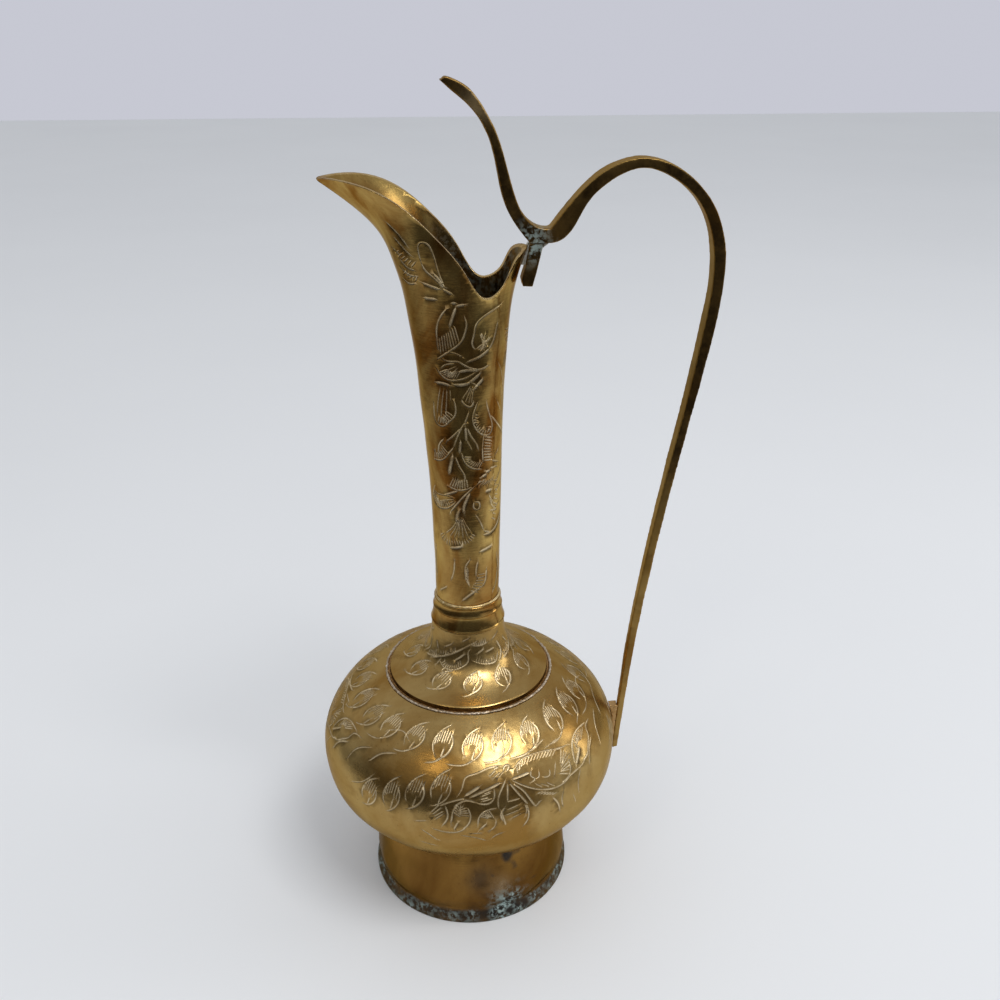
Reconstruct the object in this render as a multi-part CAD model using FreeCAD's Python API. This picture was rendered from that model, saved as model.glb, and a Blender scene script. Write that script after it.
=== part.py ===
import FreeCAD, Part
import math
import os

# Engraved brass ewer: a round-bellied pouring jug on a spun foot, with a tall flared neck, a
# pinched spout and a high strap handle. Every part is its own casting or spinning, and they
# are joined by soft solder, so nothing on the ewer moves.
# Millimetres. +Z is up, the origin is the centre of the foot's base plane on the pot's axis,
# the handle stands towards +X and the spout points towards -X.

# ---- driving dimensions ----------------------------------------------------------------
WALL = 1.6                    # sheet and casting thickness of the vessel

BELLY_R = 57.5                # the belly's widest radius
BELLY_MID_Z = 64.9            # height of the belly's widest line
BELLY_LOW_H = 34.8            # from the widest line down to the bottom of the bowl
BELLY_LOW_POWER = 2.36        # fullness of the lower bowl, 2 would be an ellipse
BELLY_TOP_H = 36.6            # semi-height of the ellipse that the upper bowl follows
MOUTH_Z = 95.2                # height of the upper bowl's mouth, where the shoulder sits

FOOT_RIM_R = 39.7
FOOT_RIM_H = 1.8
FOOT_TOP_R = 34.4
FOOT_TOP_Z = 34.6
FOOT_WALL = 1.7

CAP_EDGE_R = 30.2             # edge of the shoulder cap, inside the bowl's mouth ring
CAP_EDGE_H = 1.8
CAP_TOP_R = 13.7
CAP_TOP_Z = 117.9
BORE_R = 10.1                 # bore from the shoulder up into the neck
SPIGOT_R = 11.5               # the cap's spigot, inside the collar
NECK_Z = 128.0                # bottom edge of the neck tube, top of collar and spigot

COLLAR_LOW_R = 13.9
COLLAR_MID_R = 13.0
COLLAR_TOP_R = 12.5
COLLAR_GROOVE = 0.5           # depth of the coves between the collar's three bands
COLLAR_BAND = 0.9             # height of each band
COLLAR_LEAN = 0.1             # how much narrower a band is at its top
COLLAR_MID_Z = 124.1

# Outside of the neck and spout, section by section: height, reach towards the spout, reach
# towards the handle, half width, x of the widest place, pinch of the front and back curves.
# A pinch of 0.5 is an ellipse, and 1 comes to a point.
NECK_SECTIONS = (
    (NECK_Z, 11.7, 11.7, 11.7, 0.0, 0.5, 0.5),
    (150.0, 12.1, 12.3, 12.2, 0.0, 0.5, 0.5),
    (175.0, 13.0, 12.8, 12.9, 0.0, 0.5, 0.5),
    (200.0, 14.8, 13.4, 13.9, 0.0, 0.5, 0.5),
    (220.0, 16.6, 14.4, 15.3, -0.3, 0.5, 0.5),
    (235.0, 18.6, 15.8, 16.8, -1.0, 0.5, 0.5),
    (245.0, 20.4, 17.6, 18.8, -1.6, 0.5, 0.65),
    (254.0, 23.1, 20.3, 20.5, -2.6, 0.55, 0.62),
    (262.0, 26.8, 23.4, 21.6, -4.2, 0.68, 0.55),
    (269.0, 33.3, 26.4, 22.2, -5.8, 0.95, 0.55),
    (275.0, 40.8, 29.0, 22.9, -7.0, 1.08, 0.55),
    (280.0, 47.8, 31.0, 23.2, -8.0, 1.1, 0.55),
)
SECTION_POINTS = 40

# The mouth's rim seen from the side, from the spout's tip over the notch to the back lip.
RIM_LINE = (
    (-56.0, 277.4), (-45.5, 279.0), (-36.0, 279.0), (-27.0, 276.9), (-18.0, 271.9),
    (-9.0, 263.7), (0.0, 252.3), (7.5, 243.6), (13.0, 247.3), (18.0, 255.6),
    (22.0, 257.0), (36.0, 257.2),
)

# The strap handle seen from the side. The seat is the flat under its V, where the lug sits.
SEAT_Z = 257.8
SEAT_FRONT_X = 21.6
SEAT_BACK_X = 28.4
THUMB_TOP = ((-4.7, 308.2), (2.6, 304.3), (8.0, 297.2), (12.4, 288.4), (15.4, 277.6),
             (17.6, 271.0), (20.6, 265.9), (24.8, 263.0), (28.3, 262.6))
STRAP_OUTER = ((28.3, 262.6), (34.5, 270.6), (40.8, 277.1), (48.0, 281.9), (57.5, 284.1),
               (68.0, 281.4), (77.6, 274.1), (83.5, 265.0), (86.5, 253.5), (86.6, 242.5),
               (85.1, 228.5), (82.0, 210.0), (75.2, 172.4), (70.0, 139.7), (65.5, 106.7),
               (62.8, 79.4), (61.3, 62.0), (60.4, 52.0))
STRAP_INNER = ((58.2, 51.6), (58.5, 60.0), (59.2, 71.2), (60.2, 84.0), (62.3, 107.3),
               (66.6, 139.7), (71.8, 172.4), (78.4, 210.0), (81.0, 228.5), (82.6, 242.5),
               (82.4, 252.5), (79.8, 263.2), (74.3, 272.0), (66.5, 278.0), (57.5, 280.7),
               (49.2, 278.2), (42.4, 273.0), (39.6, 269.4), (37.3, 265.2), (35.0, 261.5),
               (32.0, 258.8), (SEAT_BACK_X, SEAT_Z))
THUMB_UNDER = ((SEAT_FRONT_X, SEAT_Z), (19.6, 260.2), (16.6, 264.3), (13.9, 269.2),
               (12.1, 275.6), (10.7, 282.2), (9.4, 287.8), (7.0, 293.9), (3.9, 298.4),
               (0.0, 302.3), (-6.3, 306.9))
# The strap's half width and the height where it has that width, from the lower end up.
STRAP_WIDTHS = ((1.6, 40.0), (1.8, 110.0), (2.4, 163.0), (3.4, 208.0), (3.2, 315.0))
LUG_HALF_WIDTH = 2.9
LUG_OUTLINE = ((SEAT_FRONT_X, SEAT_Z), (20.3, 250.6), (19.0, 246.0), (19.5, 243.9),
               (22.9, 243.6), (23.9, 247.6), (26.3, SEAT_Z))

SOLDER_GAP = 0.4              # how far a solder fillet stands clear of the edges beside it
GROOVE_FLOOR_H = 0.2          # solder on the floor of the groove round the shoulder cap
GROOVE_BEAD_H = 0.7
GROOVE_BEAD_W = 1.0
GROOVE_BEAD_LEAN = 0.2
HANDLE_PAD_LOW_Z = 58.0
HANDLE_PAD_TOP_Z = 73.0
HANDLE_PAD_HALF_WIDTH = 1.7
SEAM_HALF_H = 2.0
SEAM_THICK = 1.0
LIP_PAD_LOW_Z = 251.0
LIP_PAD_HALF_WIDTH = 2.4
LUG_FILLET = 1.6


# ---- small helpers ---------------------------------------------------------------------
def side_points(pairs):
    """Points in the XZ plane from (x, z) pairs."""
    return [FreeCAD.Vector(x, 0, z) for x, z in pairs]


def smooth_edge(points):
    curve = Part.BSplineCurve()
    curve.interpolate(points)
    return curve.toShape()


def polygon_edges(points):
    return [Part.LineSegment(a, b).toShape() for a, b in zip(points, points[1:])]


def face_of(edges):
    return Part.Face(Part.Wire(Part.__sortEdges__(edges)))


def turned(edges):
    """A solid of revolution about the pot's axis from a closed outline in the XZ plane."""
    return face_of(edges).revolve(FreeCAD.Vector(0, 0, 0), FreeCAD.Vector(0, 0, 1), 360)


def turned_polygon(pairs):
    points = side_points(pairs)
    return turned(polygon_edges(points + points[:1]))


def plate(edges, half_width):
    """A flat plate in the handle's plane, as thick as twice half_width."""
    plate_face = face_of(edges)
    plate_face.translate(FreeCAD.Vector(0, -half_width, 0))
    return plate_face.extrude(FreeCAD.Vector(0, 2 * half_width, 0))


def block(x_range, half_width, z_range):
    size_x = x_range[1] - x_range[0]
    size_z = z_range[1] - z_range[0]
    corner = FreeCAD.Vector(x_range[0], -half_width, z_range[0])
    return Part.makeBox(size_x, 2 * half_width, size_z, corner)


def largest(shape):
    return max(shape.Solids, key=lambda solid: solid.Volume)


# ---- the belly -------------------------------------------------------------------------
def low_curve(inset):
    """The lower bowl's half outline, from the axis to the widest line."""
    radius = BELLY_R - inset
    height = BELLY_LOW_H - inset
    pairs = []
    steps = 18
    for step in range(steps + 1):
        angle = math.pi / 2 * step / steps
        r = radius * math.sin(angle) ** (2 / BELLY_LOW_POWER)
        drop = height * math.cos(angle) ** (2 / BELLY_LOW_POWER)
        pairs.append((r, BELLY_MID_Z - drop))
    return pairs


def top_radius(z, inset):
    """Radius of the upper bowl at a height, outside or inset by its wall."""
    share = (z - BELLY_MID_Z) / (BELLY_TOP_H - inset)
    return (BELLY_R - inset) * math.sqrt(1 - share * share)


def top_curve(inset, end_z):
    pairs = []
    steps = 14
    end_angle = math.asin((end_z - BELLY_MID_Z) / (BELLY_TOP_H - inset))
    for step in range(steps + 1):
        angle = end_angle * step / steps
        r = (BELLY_R - inset) * math.cos(angle)
        pairs.append((r, BELLY_MID_Z + (BELLY_TOP_H - inset) * math.sin(angle)))
    return pairs


def make_lower_bowl():
    outside = low_curve(0)
    inside = low_curve(WALL)
    edges = [smooth_edge(side_points(outside)), smooth_edge(side_points(inside))]
    edges += polygon_edges(side_points([outside[0], inside[0]]))
    edges += polygon_edges(side_points([outside[-1], inside[-1]]))
    return turned(edges)


def make_upper_bowl():
    outside = top_curve(0, MOUTH_Z)
    inside = top_curve(WALL, MOUTH_Z)
    edges = [smooth_edge(side_points(outside)), smooth_edge(side_points(inside))]
    edges += polygon_edges(side_points([outside[0], inside[0]]))
    edges += polygon_edges(side_points([outside[-1], inside[-1]]))
    return turned(edges)


def make_belly_core():
    """The belly as one filled body, to shape what is fitted against its outside."""
    low = low_curve(0)
    top = top_curve(0, MOUTH_Z)
    edges = [smooth_edge(side_points(low)), smooth_edge(side_points(top))]
    edges += polygon_edges(side_points([top[-1], (0, MOUTH_Z), low[0]]))
    return turned(edges)


def make_belly_seam_solder(bowls):
    """A ring of solder inside the belly, along the joint of its two bowls."""
    inner_r = BELLY_R - WALL - SEAM_THICK
    low_z = BELLY_MID_Z - SEAM_HALF_H
    ring = Part.makeCylinder(BELLY_R - WALL / 2, 2 * SEAM_HALF_H, FreeCAD.Vector(0, 0, low_z))
    ring = ring.cut(Part.makeCylinder(inner_r, 2 * SEAM_HALF_H, FreeCAD.Vector(0, 0, low_z)))
    for bowl in bowls:
        ring = ring.cut(bowl)
    return largest(ring)


# ---- the foot --------------------------------------------------------------------------
def make_foot(belly_core):
    """A spun ring foot, open underneath, with a flared lip at its base."""
    outside = side_points(((FOOT_RIM_R, FOOT_RIM_H), (39.0, 3.4), (38.2, 5.4)))
    body = side_points(((38.2, 5.4), (38.7, 7.5), (38.8, 13.0), (38.1, 19.0), (36.9, 25.0),
                        (35.5, 30.0), (FOOT_TOP_R, FOOT_TOP_Z + WALL)))
    inner_top_r = FOOT_TOP_R - FOOT_WALL
    inside = side_points(((38.0, 0.0), (37.0, 3.4), (36.6, 8.0), (37.0, 13.0), (36.3, 19.0),
                          (35.2, 25.0), (33.8, 30.0), (inner_top_r, FOOT_TOP_Z + WALL)))
    edges = polygon_edges(side_points(((38.0, 0), (FOOT_RIM_R, 0), (FOOT_RIM_R, FOOT_RIM_H))))
    edges += [smooth_edge(outside), smooth_edge(body), smooth_edge(inside)]
    edges += polygon_edges([body[-1], inside[-1]])
    return largest(turned(edges).cut(belly_core))


def make_foot_solder(belly_core, foot):
    """A fillet of solder inside the foot, under the bowl."""
    outer_r = FOOT_TOP_R - FOOT_WALL / 2
    low_z = FOOT_TOP_Z - 3.4
    top_z = FOOT_TOP_Z + WALL
    wedge = turned_polygon(((outer_r, low_z), (outer_r, top_z), (outer_r - 4.6, top_z)))
    return largest(wedge.cut(belly_core).cut(foot))


# ---- the shoulder, collar and their solder ---------------------------------------------
def make_shoulder_cap():
    """The hollow-sided cap that closes the belly, with the spigot that carries the neck."""
    edge_top_z = MOUTH_Z + CAP_EDGE_H
    skirt = side_points(((CAP_EDGE_R, edge_top_z), (26.0, 98.4), (21.2, 101.0), (17.4, 104.3),
                         (15.1, 109.0), (14.0, 113.6), (CAP_TOP_R, CAP_TOP_Z)))
    hollow = side_points(((CAP_EDGE_R - WALL, MOUTH_Z), (24.6, 96.9), (19.4, 99.8),
                          (15.4, 103.5), (12.9, 108.5), (11.1, 113.5), (BORE_R, 119.0)))
    edges = [smooth_edge(skirt), smooth_edge(hollow)]
    edges += polygon_edges(side_points(((CAP_TOP_R, CAP_TOP_Z), (SPIGOT_R, CAP_TOP_Z),
                                        (SPIGOT_R, NECK_Z), (BORE_R, NECK_Z),
                                        (BORE_R, 119.0))))
    edges += polygon_edges(side_points(((CAP_EDGE_R - WALL, MOUTH_Z), (CAP_EDGE_R, MOUTH_Z),
                                        (CAP_EDGE_R, edge_top_z))))
    return turned(edges)


def make_shoulder_solder():
    """The solder in the groove round the cap: a thin floor with a bead on its outer side."""
    ledge_r = top_radius(MOUTH_Z, 0) - SOLDER_GAP / 2
    floor_z = MOUTH_Z + GROOVE_FLOOR_H
    bead_z = MOUTH_Z + GROOVE_BEAD_H
    return turned_polygon(((CAP_EDGE_R, MOUTH_Z), (ledge_r, MOUTH_Z),
                           (ledge_r - GROOVE_BEAD_LEAN, bead_z),
                           (ledge_r - GROOVE_BEAD_W + GROOVE_BEAD_LEAN, bead_z),
                           (ledge_r - GROOVE_BEAD_W, floor_z), (CAP_EDGE_R, floor_z)))


def make_neck_collar():
    """A turned ring over the spigot, with three raised bands and a cove between each two."""
    bands = ((COLLAR_LOW_R, CAP_TOP_Z), (COLLAR_MID_R, COLLAR_MID_Z - COLLAR_BAND / 2),
             (COLLAR_TOP_R, NECK_Z - COLLAR_BAND))
    edges = []
    for index, (radius, low_z) in enumerate(bands):
        low = (radius, low_z)
        top = (radius - COLLAR_LEAN, low_z + COLLAR_BAND)
        edges += polygon_edges(side_points((low, top)))
        if index + 1 < len(bands):
            next_low = bands[index + 1]
            middle = ((top[0] + next_low[0]) / 2 - COLLAR_GROOVE, (top[1] + next_low[1]) / 2)
            cove = Part.Arc(*side_points((top, middle, next_low)))
            edges.append(cove.toShape())
    last = (COLLAR_TOP_R - COLLAR_LEAN, NECK_Z)
    edges += polygon_edges(side_points((last, (SPIGOT_R, NECK_Z), (SPIGOT_R, CAP_TOP_Z),
                                        bands[0])))
    return turned(edges)


def make_neck_solder(neck_core):
    """A thin bead in the step between the collar's top and the neck tube."""
    outer_r = COLLAR_TOP_R - COLLAR_LEAN
    inner_r = NECK_SECTIONS[0][1] - 0.2
    top_z = NECK_Z + outer_r - inner_r
    bead = turned_polygon(((inner_r, NECK_Z), (outer_r, NECK_Z), (inner_r, top_z)))
    return largest(bead.cut(neck_core))


# ---- the neck and spout ----------------------------------------------------------------
def section_wire(z, front, back, half_width, centre_x, front_pinch, back_pinch):
    """A closed egg-shaped section, round at its widest place and pinched at its two ends."""
    points = []
    for step in range(SECTION_POINTS):
        angle = 2 * math.pi * step / SECTION_POINTS
        cosine = math.cos(angle)
        sine = math.sin(angle)
        pinch = back_pinch if cosine >= 0 else front_pinch
        reach = back - centre_x if cosine >= 0 else front + centre_x
        y = math.copysign(half_width * abs(sine) ** (2 * pinch), sine)
        points.append(FreeCAD.Vector(centre_x + reach * cosine, y, z))
    curve = Part.BSplineCurve()
    curve.interpolate(points, PeriodicFlag=True)
    return Part.Wire(curve.toShape())


def wall_reach(index, column):
    """Horizontal thickness of the wall at a section, where the wall leans outwards."""
    low = NECK_SECTIONS[max(index - 1, 0)]
    high = NECK_SECTIONS[min(index + 1, len(NECK_SECTIONS) - 1)]
    lean = (high[column] - low[column]) / (high[0] - low[0])
    return WALL * math.sqrt(1 + lean * lean)


def make_neck_outside():
    return Part.makeLoft([section_wire(*section) for section in NECK_SECTIONS], True, False)


def make_neck_inside():
    wires = []
    for index, section in enumerate(NECK_SECTIONS):
        z, front, back, half_width, centre_x, front_pinch, back_pinch = section
        wires.append(section_wire(z, front - wall_reach(index, 1), back - wall_reach(index, 2),
                                  half_width - wall_reach(index, 3), centre_x,
                                  front_pinch, back_pinch))
    return Part.makeLoft(wires, True, False)


def make_neck_spout(outside, inside):
    """The flared neck tube, cut at the top along the rim line to leave spout and back lip."""
    tube = outside.cut(inside)
    rim = side_points(RIM_LINE)
    above = NECK_SECTIONS[-1][0] + 10
    edges = [smooth_edge(rim)]
    edges += polygon_edges([rim[-1], FreeCAD.Vector(rim[-1].x, 0, above),
                            FreeCAD.Vector(rim[0].x, 0, above), rim[0]])
    return largest(tube.cut(plate(edges, BELLY_R)))


# ---- the handle ------------------------------------------------------------------------
def make_handle():
    """One cast strap: thumb scroll, V, arch and the long leg down to the belly."""
    edges = [smooth_edge(side_points(line))
             for line in (THUMB_TOP, STRAP_OUTER, STRAP_INNER, THUMB_UNDER)]
    edges += polygon_edges(side_points((STRAP_OUTER[-1], STRAP_INNER[0])))
    edges += polygon_edges(side_points((STRAP_INNER[-1], THUMB_UNDER[0])))
    edges += polygon_edges(side_points((THUMB_UNDER[-1], THUMB_TOP[0])))
    strap = plate(edges, max(half for half, z in STRAP_WIDTHS))
    near_side = [FreeCAD.Vector(-20, -half, z) for half, z in STRAP_WIDTHS]
    far_side = [FreeCAD.Vector(-20, half, z) for half, z in reversed(STRAP_WIDTHS)]
    outline = near_side + far_side + near_side[:1]
    taper = face_of(polygon_edges(outline)).extrude(FreeCAD.Vector(120, 0, 0))
    return largest(strap.common(taper))


def make_handle_lug():
    """The short bar brazed under the V, which stands behind the neck's back lip."""
    points = side_points(LUG_OUTLINE)
    return plate(polygon_edges(points + points[:1]), LUG_HALF_WIDTH)


def make_lug_solder():
    """The braze in the corner between the lug's back and the underside of the strap."""
    corner_x = LUG_OUTLINE[-1][0]
    lean = (corner_x - LUG_OUTLINE[-2][0]) / (SEAT_Z - LUG_OUTLINE[-2][1])
    points = side_points(((corner_x, SEAT_Z), (corner_x + LUG_FILLET, SEAT_Z),
                          (corner_x - lean * LUG_FILLET, SEAT_Z - LUG_FILLET)))
    return plate(polygon_edges(points + points[:1]), LUG_HALF_WIDTH - SOLDER_GAP)


def make_lip_solder(neck_core, lug, handle):
    """Solder that fills the wedge between the back lip, the lug and the strap's underside."""
    pad = block((17.0, 24.0), LIP_PAD_HALF_WIDTH, (LIP_PAD_LOW_Z, SEAT_Z))
    return largest(pad.cut(neck_core).cut(lug).cut(handle))


def make_handle_foot_solder(belly_core, handle):
    """The solder bed between the belly's widest line and the strap's lower end."""
    pad = block((BELLY_R - 4, BELLY_R + 2), HANDLE_PAD_HALF_WIDTH,
                (HANDLE_PAD_LOW_Z, HANDLE_PAD_TOP_Z))
    return largest(pad.cut(belly_core).cut(handle))


# ---- build and write -------------------------------------------------------------------
def build():
    belly_core = make_belly_core()
    lower_bowl = make_lower_bowl()
    upper_bowl = make_upper_bowl()
    foot = make_foot(belly_core)
    neck_outside = make_neck_outside()
    neck_inside = make_neck_inside()
    handle = make_handle()
    handle_lug = make_handle_lug()
    return {
        "foot": foot,
        "foot_solder": make_foot_solder(belly_core, foot),
        "lower_bowl": lower_bowl,
        "belly_seam_solder": make_belly_seam_solder((lower_bowl, upper_bowl)),
        "upper_bowl": upper_bowl,
        "shoulder_solder": make_shoulder_solder(),
        "shoulder_cap": make_shoulder_cap(),
        "neck_collar": make_neck_collar(),
        "neck_solder": make_neck_solder(neck_outside),
        "neck_spout": make_neck_spout(neck_outside, neck_inside),
        "lip_solder": make_lip_solder(neck_outside, handle_lug, handle),
        "handle": handle,
        "handle_lug": handle_lug,
        "lug_solder": make_lug_solder(),
        "handle_foot_solder": make_handle_foot_solder(belly_core, handle),
    }


os.makedirs("parts", exist_ok=True)
for node, shape in build().items():
    shape.exportStep(os.path.join("parts", node + ".step"))
    box = shape.BoundBox
    print(f"{node:20} valid {shape.isValid()} solids {len(shape.Solids)} "
          f"volume {shape.Volume:9.1f} z {box.ZMin:6.1f}..{box.ZMax:6.1f}")
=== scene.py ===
import math
import random

import bpy
import numpy as np
from mathutils import Matrix, Vector, noise
from mathutils.geometry import delaunay_2d_cdt
from mathutils.kdtree import KDTree


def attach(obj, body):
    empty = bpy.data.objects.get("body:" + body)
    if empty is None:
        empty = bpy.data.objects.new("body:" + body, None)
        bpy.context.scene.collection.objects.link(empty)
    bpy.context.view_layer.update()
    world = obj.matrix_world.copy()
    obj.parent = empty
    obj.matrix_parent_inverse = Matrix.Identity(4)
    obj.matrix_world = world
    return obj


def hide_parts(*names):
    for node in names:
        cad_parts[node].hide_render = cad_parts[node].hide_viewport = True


# An engraved brass ewer. The lengths below are millimetres, and MM turns them into metres.
# Angles run round the pot's axis: 0 is the front (-Y) and 90 degrees is the handle's side.
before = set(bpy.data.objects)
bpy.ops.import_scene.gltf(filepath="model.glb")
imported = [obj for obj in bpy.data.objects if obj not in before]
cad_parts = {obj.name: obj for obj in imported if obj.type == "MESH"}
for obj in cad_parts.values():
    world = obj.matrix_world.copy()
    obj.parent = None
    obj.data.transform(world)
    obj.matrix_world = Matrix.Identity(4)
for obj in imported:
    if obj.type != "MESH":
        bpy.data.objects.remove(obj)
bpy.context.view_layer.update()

MM = 0.001
WALL = 1.6
BELLY_R = 57.5
BELLY_MID_Z = 64.9
BELLY_LOW_H = 34.8
BELLY_LOW_POWER = 2.36       # the lower half's outline is a superellipse of this power
BELLY_TOP_H = 36.6
BOWL_BOTTOM_B = 3.0          # where the visible shell ends under the belly, up its outline
MOUTH_Z = 95.2               # the round mouth that the shoulder sits in
CAP_EDGE_R = 30.2
NECK_Z = 128.0               # where the neck stands on the collar
NECK_BORE_R = 10.1
SPIGOT_R = 11.5

# The neck's sections: height, reach to the spout's side and to the back, half width, centre,
# and how pinched the spout's side and the back are, where 0.5 is round.
NECK_SECTIONS = np.array((
    (NECK_Z, 11.7, 11.7, 11.7, 0.0, 0.5, 0.5),
    (150.0, 12.1, 12.3, 12.2, 0.0, 0.5, 0.5),
    (175.0, 13.0, 12.8, 12.9, 0.0, 0.5, 0.5),
    (200.0, 14.8, 13.4, 13.9, 0.0, 0.5, 0.5),
    (220.0, 16.6, 14.4, 15.3, -0.3, 0.5, 0.5),
    (235.0, 18.6, 15.8, 16.8, -1.0, 0.5, 0.5),
    (245.0, 20.4, 17.6, 18.8, -1.6, 0.5, 0.65),
    (254.0, 23.1, 20.3, 20.5, -2.6, 0.55, 0.62),
    (262.0, 26.8, 23.4, 21.6, -4.2, 0.68, 0.55),
    (269.0, 33.3, 26.4, 22.2, -5.8, 0.95, 0.55),
    (275.0, 40.8, 29.0, 22.9, -7.0, 1.08, 0.55),
    (280.0, 47.8, 31.0, 23.2, -8.0, 1.1, 0.55),
))
# The rim seen from the side, as x and height from the spout's tip to the back lip.
RIM_LINE = (
    (-56.0, 277.4), (-45.5, 279.0), (-36.0, 279.0), (-27.0, 276.9), (-18.0, 271.9),
    (-9.0, 263.7), (0.0, 252.3), (7.5, 243.6), (13.0, 247.3), (18.0, 255.6),
    (22.0, 257.0), (36.0, 257.2),
)


# ---- curves ----------------------------------------------------------------------------
def cubic(x, y, x_new):
    """A natural cubic spline through (x, y), read at x_new; y may have several columns."""
    x = np.asarray(x, float)
    y = np.asarray(y, float)
    count = len(x)
    h = np.diff(x)
    system = np.eye(count)
    right = np.zeros_like(y)
    for i in range(1, count - 1):
        system[i, i - 1:i + 2] = h[i - 1], 2 * (h[i - 1] + h[i]), h[i]
        right[i] = 6 * ((y[i + 1] - y[i]) / h[i] - (y[i] - y[i - 1]) / h[i - 1])
    curve = np.linalg.solve(system, right)
    i = np.clip(np.searchsorted(x, x_new, side="right") - 1, 0, count - 2)
    shape = (-1,) + (1,) * (y.ndim - 1)
    step = h[i].reshape(shape)
    after = (x_new - x[i]).reshape(shape)
    before = (x[i + 1] - x_new).reshape(shape)
    value = (curve[i] * before ** 3 + curve[i + 1] * after ** 3) / (6 * step)
    value += (y[i] / step - curve[i] * step / 6) * before
    return value + (y[i + 1] / step - curve[i + 1] * step / 6) * after


def along(points):
    """Length along a line of points, at each point."""
    gaps = np.linalg.norm(np.diff(np.asarray(points, float), axis=0), axis=1)
    return np.concatenate(([0.0], np.cumsum(gaps)))


def smooth_line(points, count):
    """A smooth line through the points, as so many evenly spaced points."""
    points = np.asarray(points, float)
    reach = along(points)
    wanted = np.linspace(0, reach[-1], count)
    if len(points) == 2:
        return np.stack([np.interp(wanted, reach, points[:, k]) for k in (0, 1)], axis=1)
    return cubic(reach, points, wanted)


# ---- surfaces that carry engraving -----------------------------------------------------
class Lathe:
    """A turned surface. A point on it is an angle and a length up its outline."""

    def __init__(self, outline, middle_radius):
        outline = np.asarray(outline, float)
        self.r, self.z = outline.T
        self.b = along(outline)
        slope = np.gradient(outline, self.b, axis=0)
        slope /= np.linalg.norm(slope, axis=1)[:, None]
        self.out_r = slope[:, 1]
        self.out_z = -slope[:, 0]
        self.middle_radius = middle_radius

    def place(self, a, b, lift=0.0):
        r = np.interp(b, self.b, self.r) + lift * np.interp(b, self.b, self.out_r)
        z = np.interp(b, self.b, self.z) + lift * np.interp(b, self.b, self.out_z)
        return np.stack([r * np.sin(a), -r * np.cos(a), z], axis=-1)

    def scale(self, a, b):
        return np.interp(b, self.b, self.r), np.ones_like(b)


class Neck:
    """The neck and spout. A point on it is an angle round its section and a height."""
    middle_radius = 17.0

    def __init__(self, inset):
        table = NECK_SECTIONS.copy()
        lean = np.array([np.gradient(table[:, k], table[:, 0]) for k in (1, 2, 3)]).T
        table[:, 1:4] -= inset * np.sqrt(1 + lean * lean)
        self.heights = np.linspace(table[0, 0], table[-1, 0], 600)
        self.columns = cubic(table[:, 0], table[:, 1:], self.heights)

    def point(self, a, z):
        front, back, half_width, centre, front_pinch, back_pinch = (
            np.interp(z, self.heights, self.columns[:, k]) for k in range(6))
        sine = np.sin(a)
        cosine = np.cos(a)
        behind = sine >= 0
        reach = np.where(behind, back - centre, front + centre)
        pinch = np.where(behind, back_pinch, front_pinch)
        width = half_width * np.abs(cosine) ** (2 * pinch)
        return np.stack([centre + reach * sine, -np.sign(cosine) * width, z], axis=-1)

    def place(self, a, z, lift=0.0):
        small = 0.02
        z = np.asarray(z, float)
        across = self.point(a + small, z) - self.point(a - small, z)
        up = self.point(a, z + small * 10) - self.point(a, z - small * 10)
        normal = np.cross(across, up)
        normal /= np.linalg.norm(normal, axis=-1)[..., None] + 1e-9
        return self.point(a, z) + normal * np.asarray(lift, float)[..., None]

    def scale(self, a, z):
        small = 0.02
        across = self.point(a + small, z) - self.point(a - small, z)
        up = self.point(a, z + small) - self.point(a, z - small)
        return (np.maximum(np.linalg.norm(across, axis=-1), 0.1) / (2 * small),
                np.linalg.norm(up, axis=-1) / (2 * small))


def low_outline(inset):
    """The belly's outline below its widest line, moved inwards."""
    turn = np.linspace(0.02, math.pi / 2, 300)
    power = 2 / BELLY_LOW_POWER
    r = (BELLY_R - inset) * np.sin(turn) ** power
    z = BELLY_MID_Z - (BELLY_LOW_H - inset) * np.cos(turn) ** power
    return np.stack([r, z], axis=1)


def top_outline(inset):
    """The belly's outline from its widest line up to the mouth, moved inwards."""
    end = math.asin((MOUTH_Z - BELLY_MID_Z) / (BELLY_TOP_H - inset))
    turn = np.linspace(0, end, 200)
    r = (BELLY_R - inset) * np.cos(turn)
    z = BELLY_MID_Z + (BELLY_TOP_H - inset) * np.sin(turn)
    return np.stack([r, z], axis=1)


# ---- engraved cuts ---------------------------------------------------------------------
# A cut is its points, its width and its depth. Motifs are cuts in their own flat
# millimetres, x to the right and y up, and put() lays them on a surface.
FINE = (0.34, 0.14)
LINE = (0.50, 0.2)
NECK_LINE = (0.44, 0.18)
NECK_RIB = (0.3, 0.09)
BROAD = (0.85, 0.22)


def put(surface, angle, b, motif, turn=0.0):
    """A motif laid on a surface about an angle and a length up it."""
    cosine, sine = math.cos(math.radians(turn)), math.sin(math.radians(turn))
    placed = []
    for points, cut in motif:
        flat = np.asarray(points, float)
        x = flat[:, 0] * cosine - flat[:, 1] * sine
        y = flat[:, 0] * sine + flat[:, 1] * cosine
        at = np.full_like(y, math.radians(angle))
        rows = b + y / surface.scale(at, np.full_like(y, b))[1]
        across = surface.scale(at, rows)[0]
        placed.append((np.stack([at + x / across, rows], axis=1), cut))
    return placed


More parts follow.
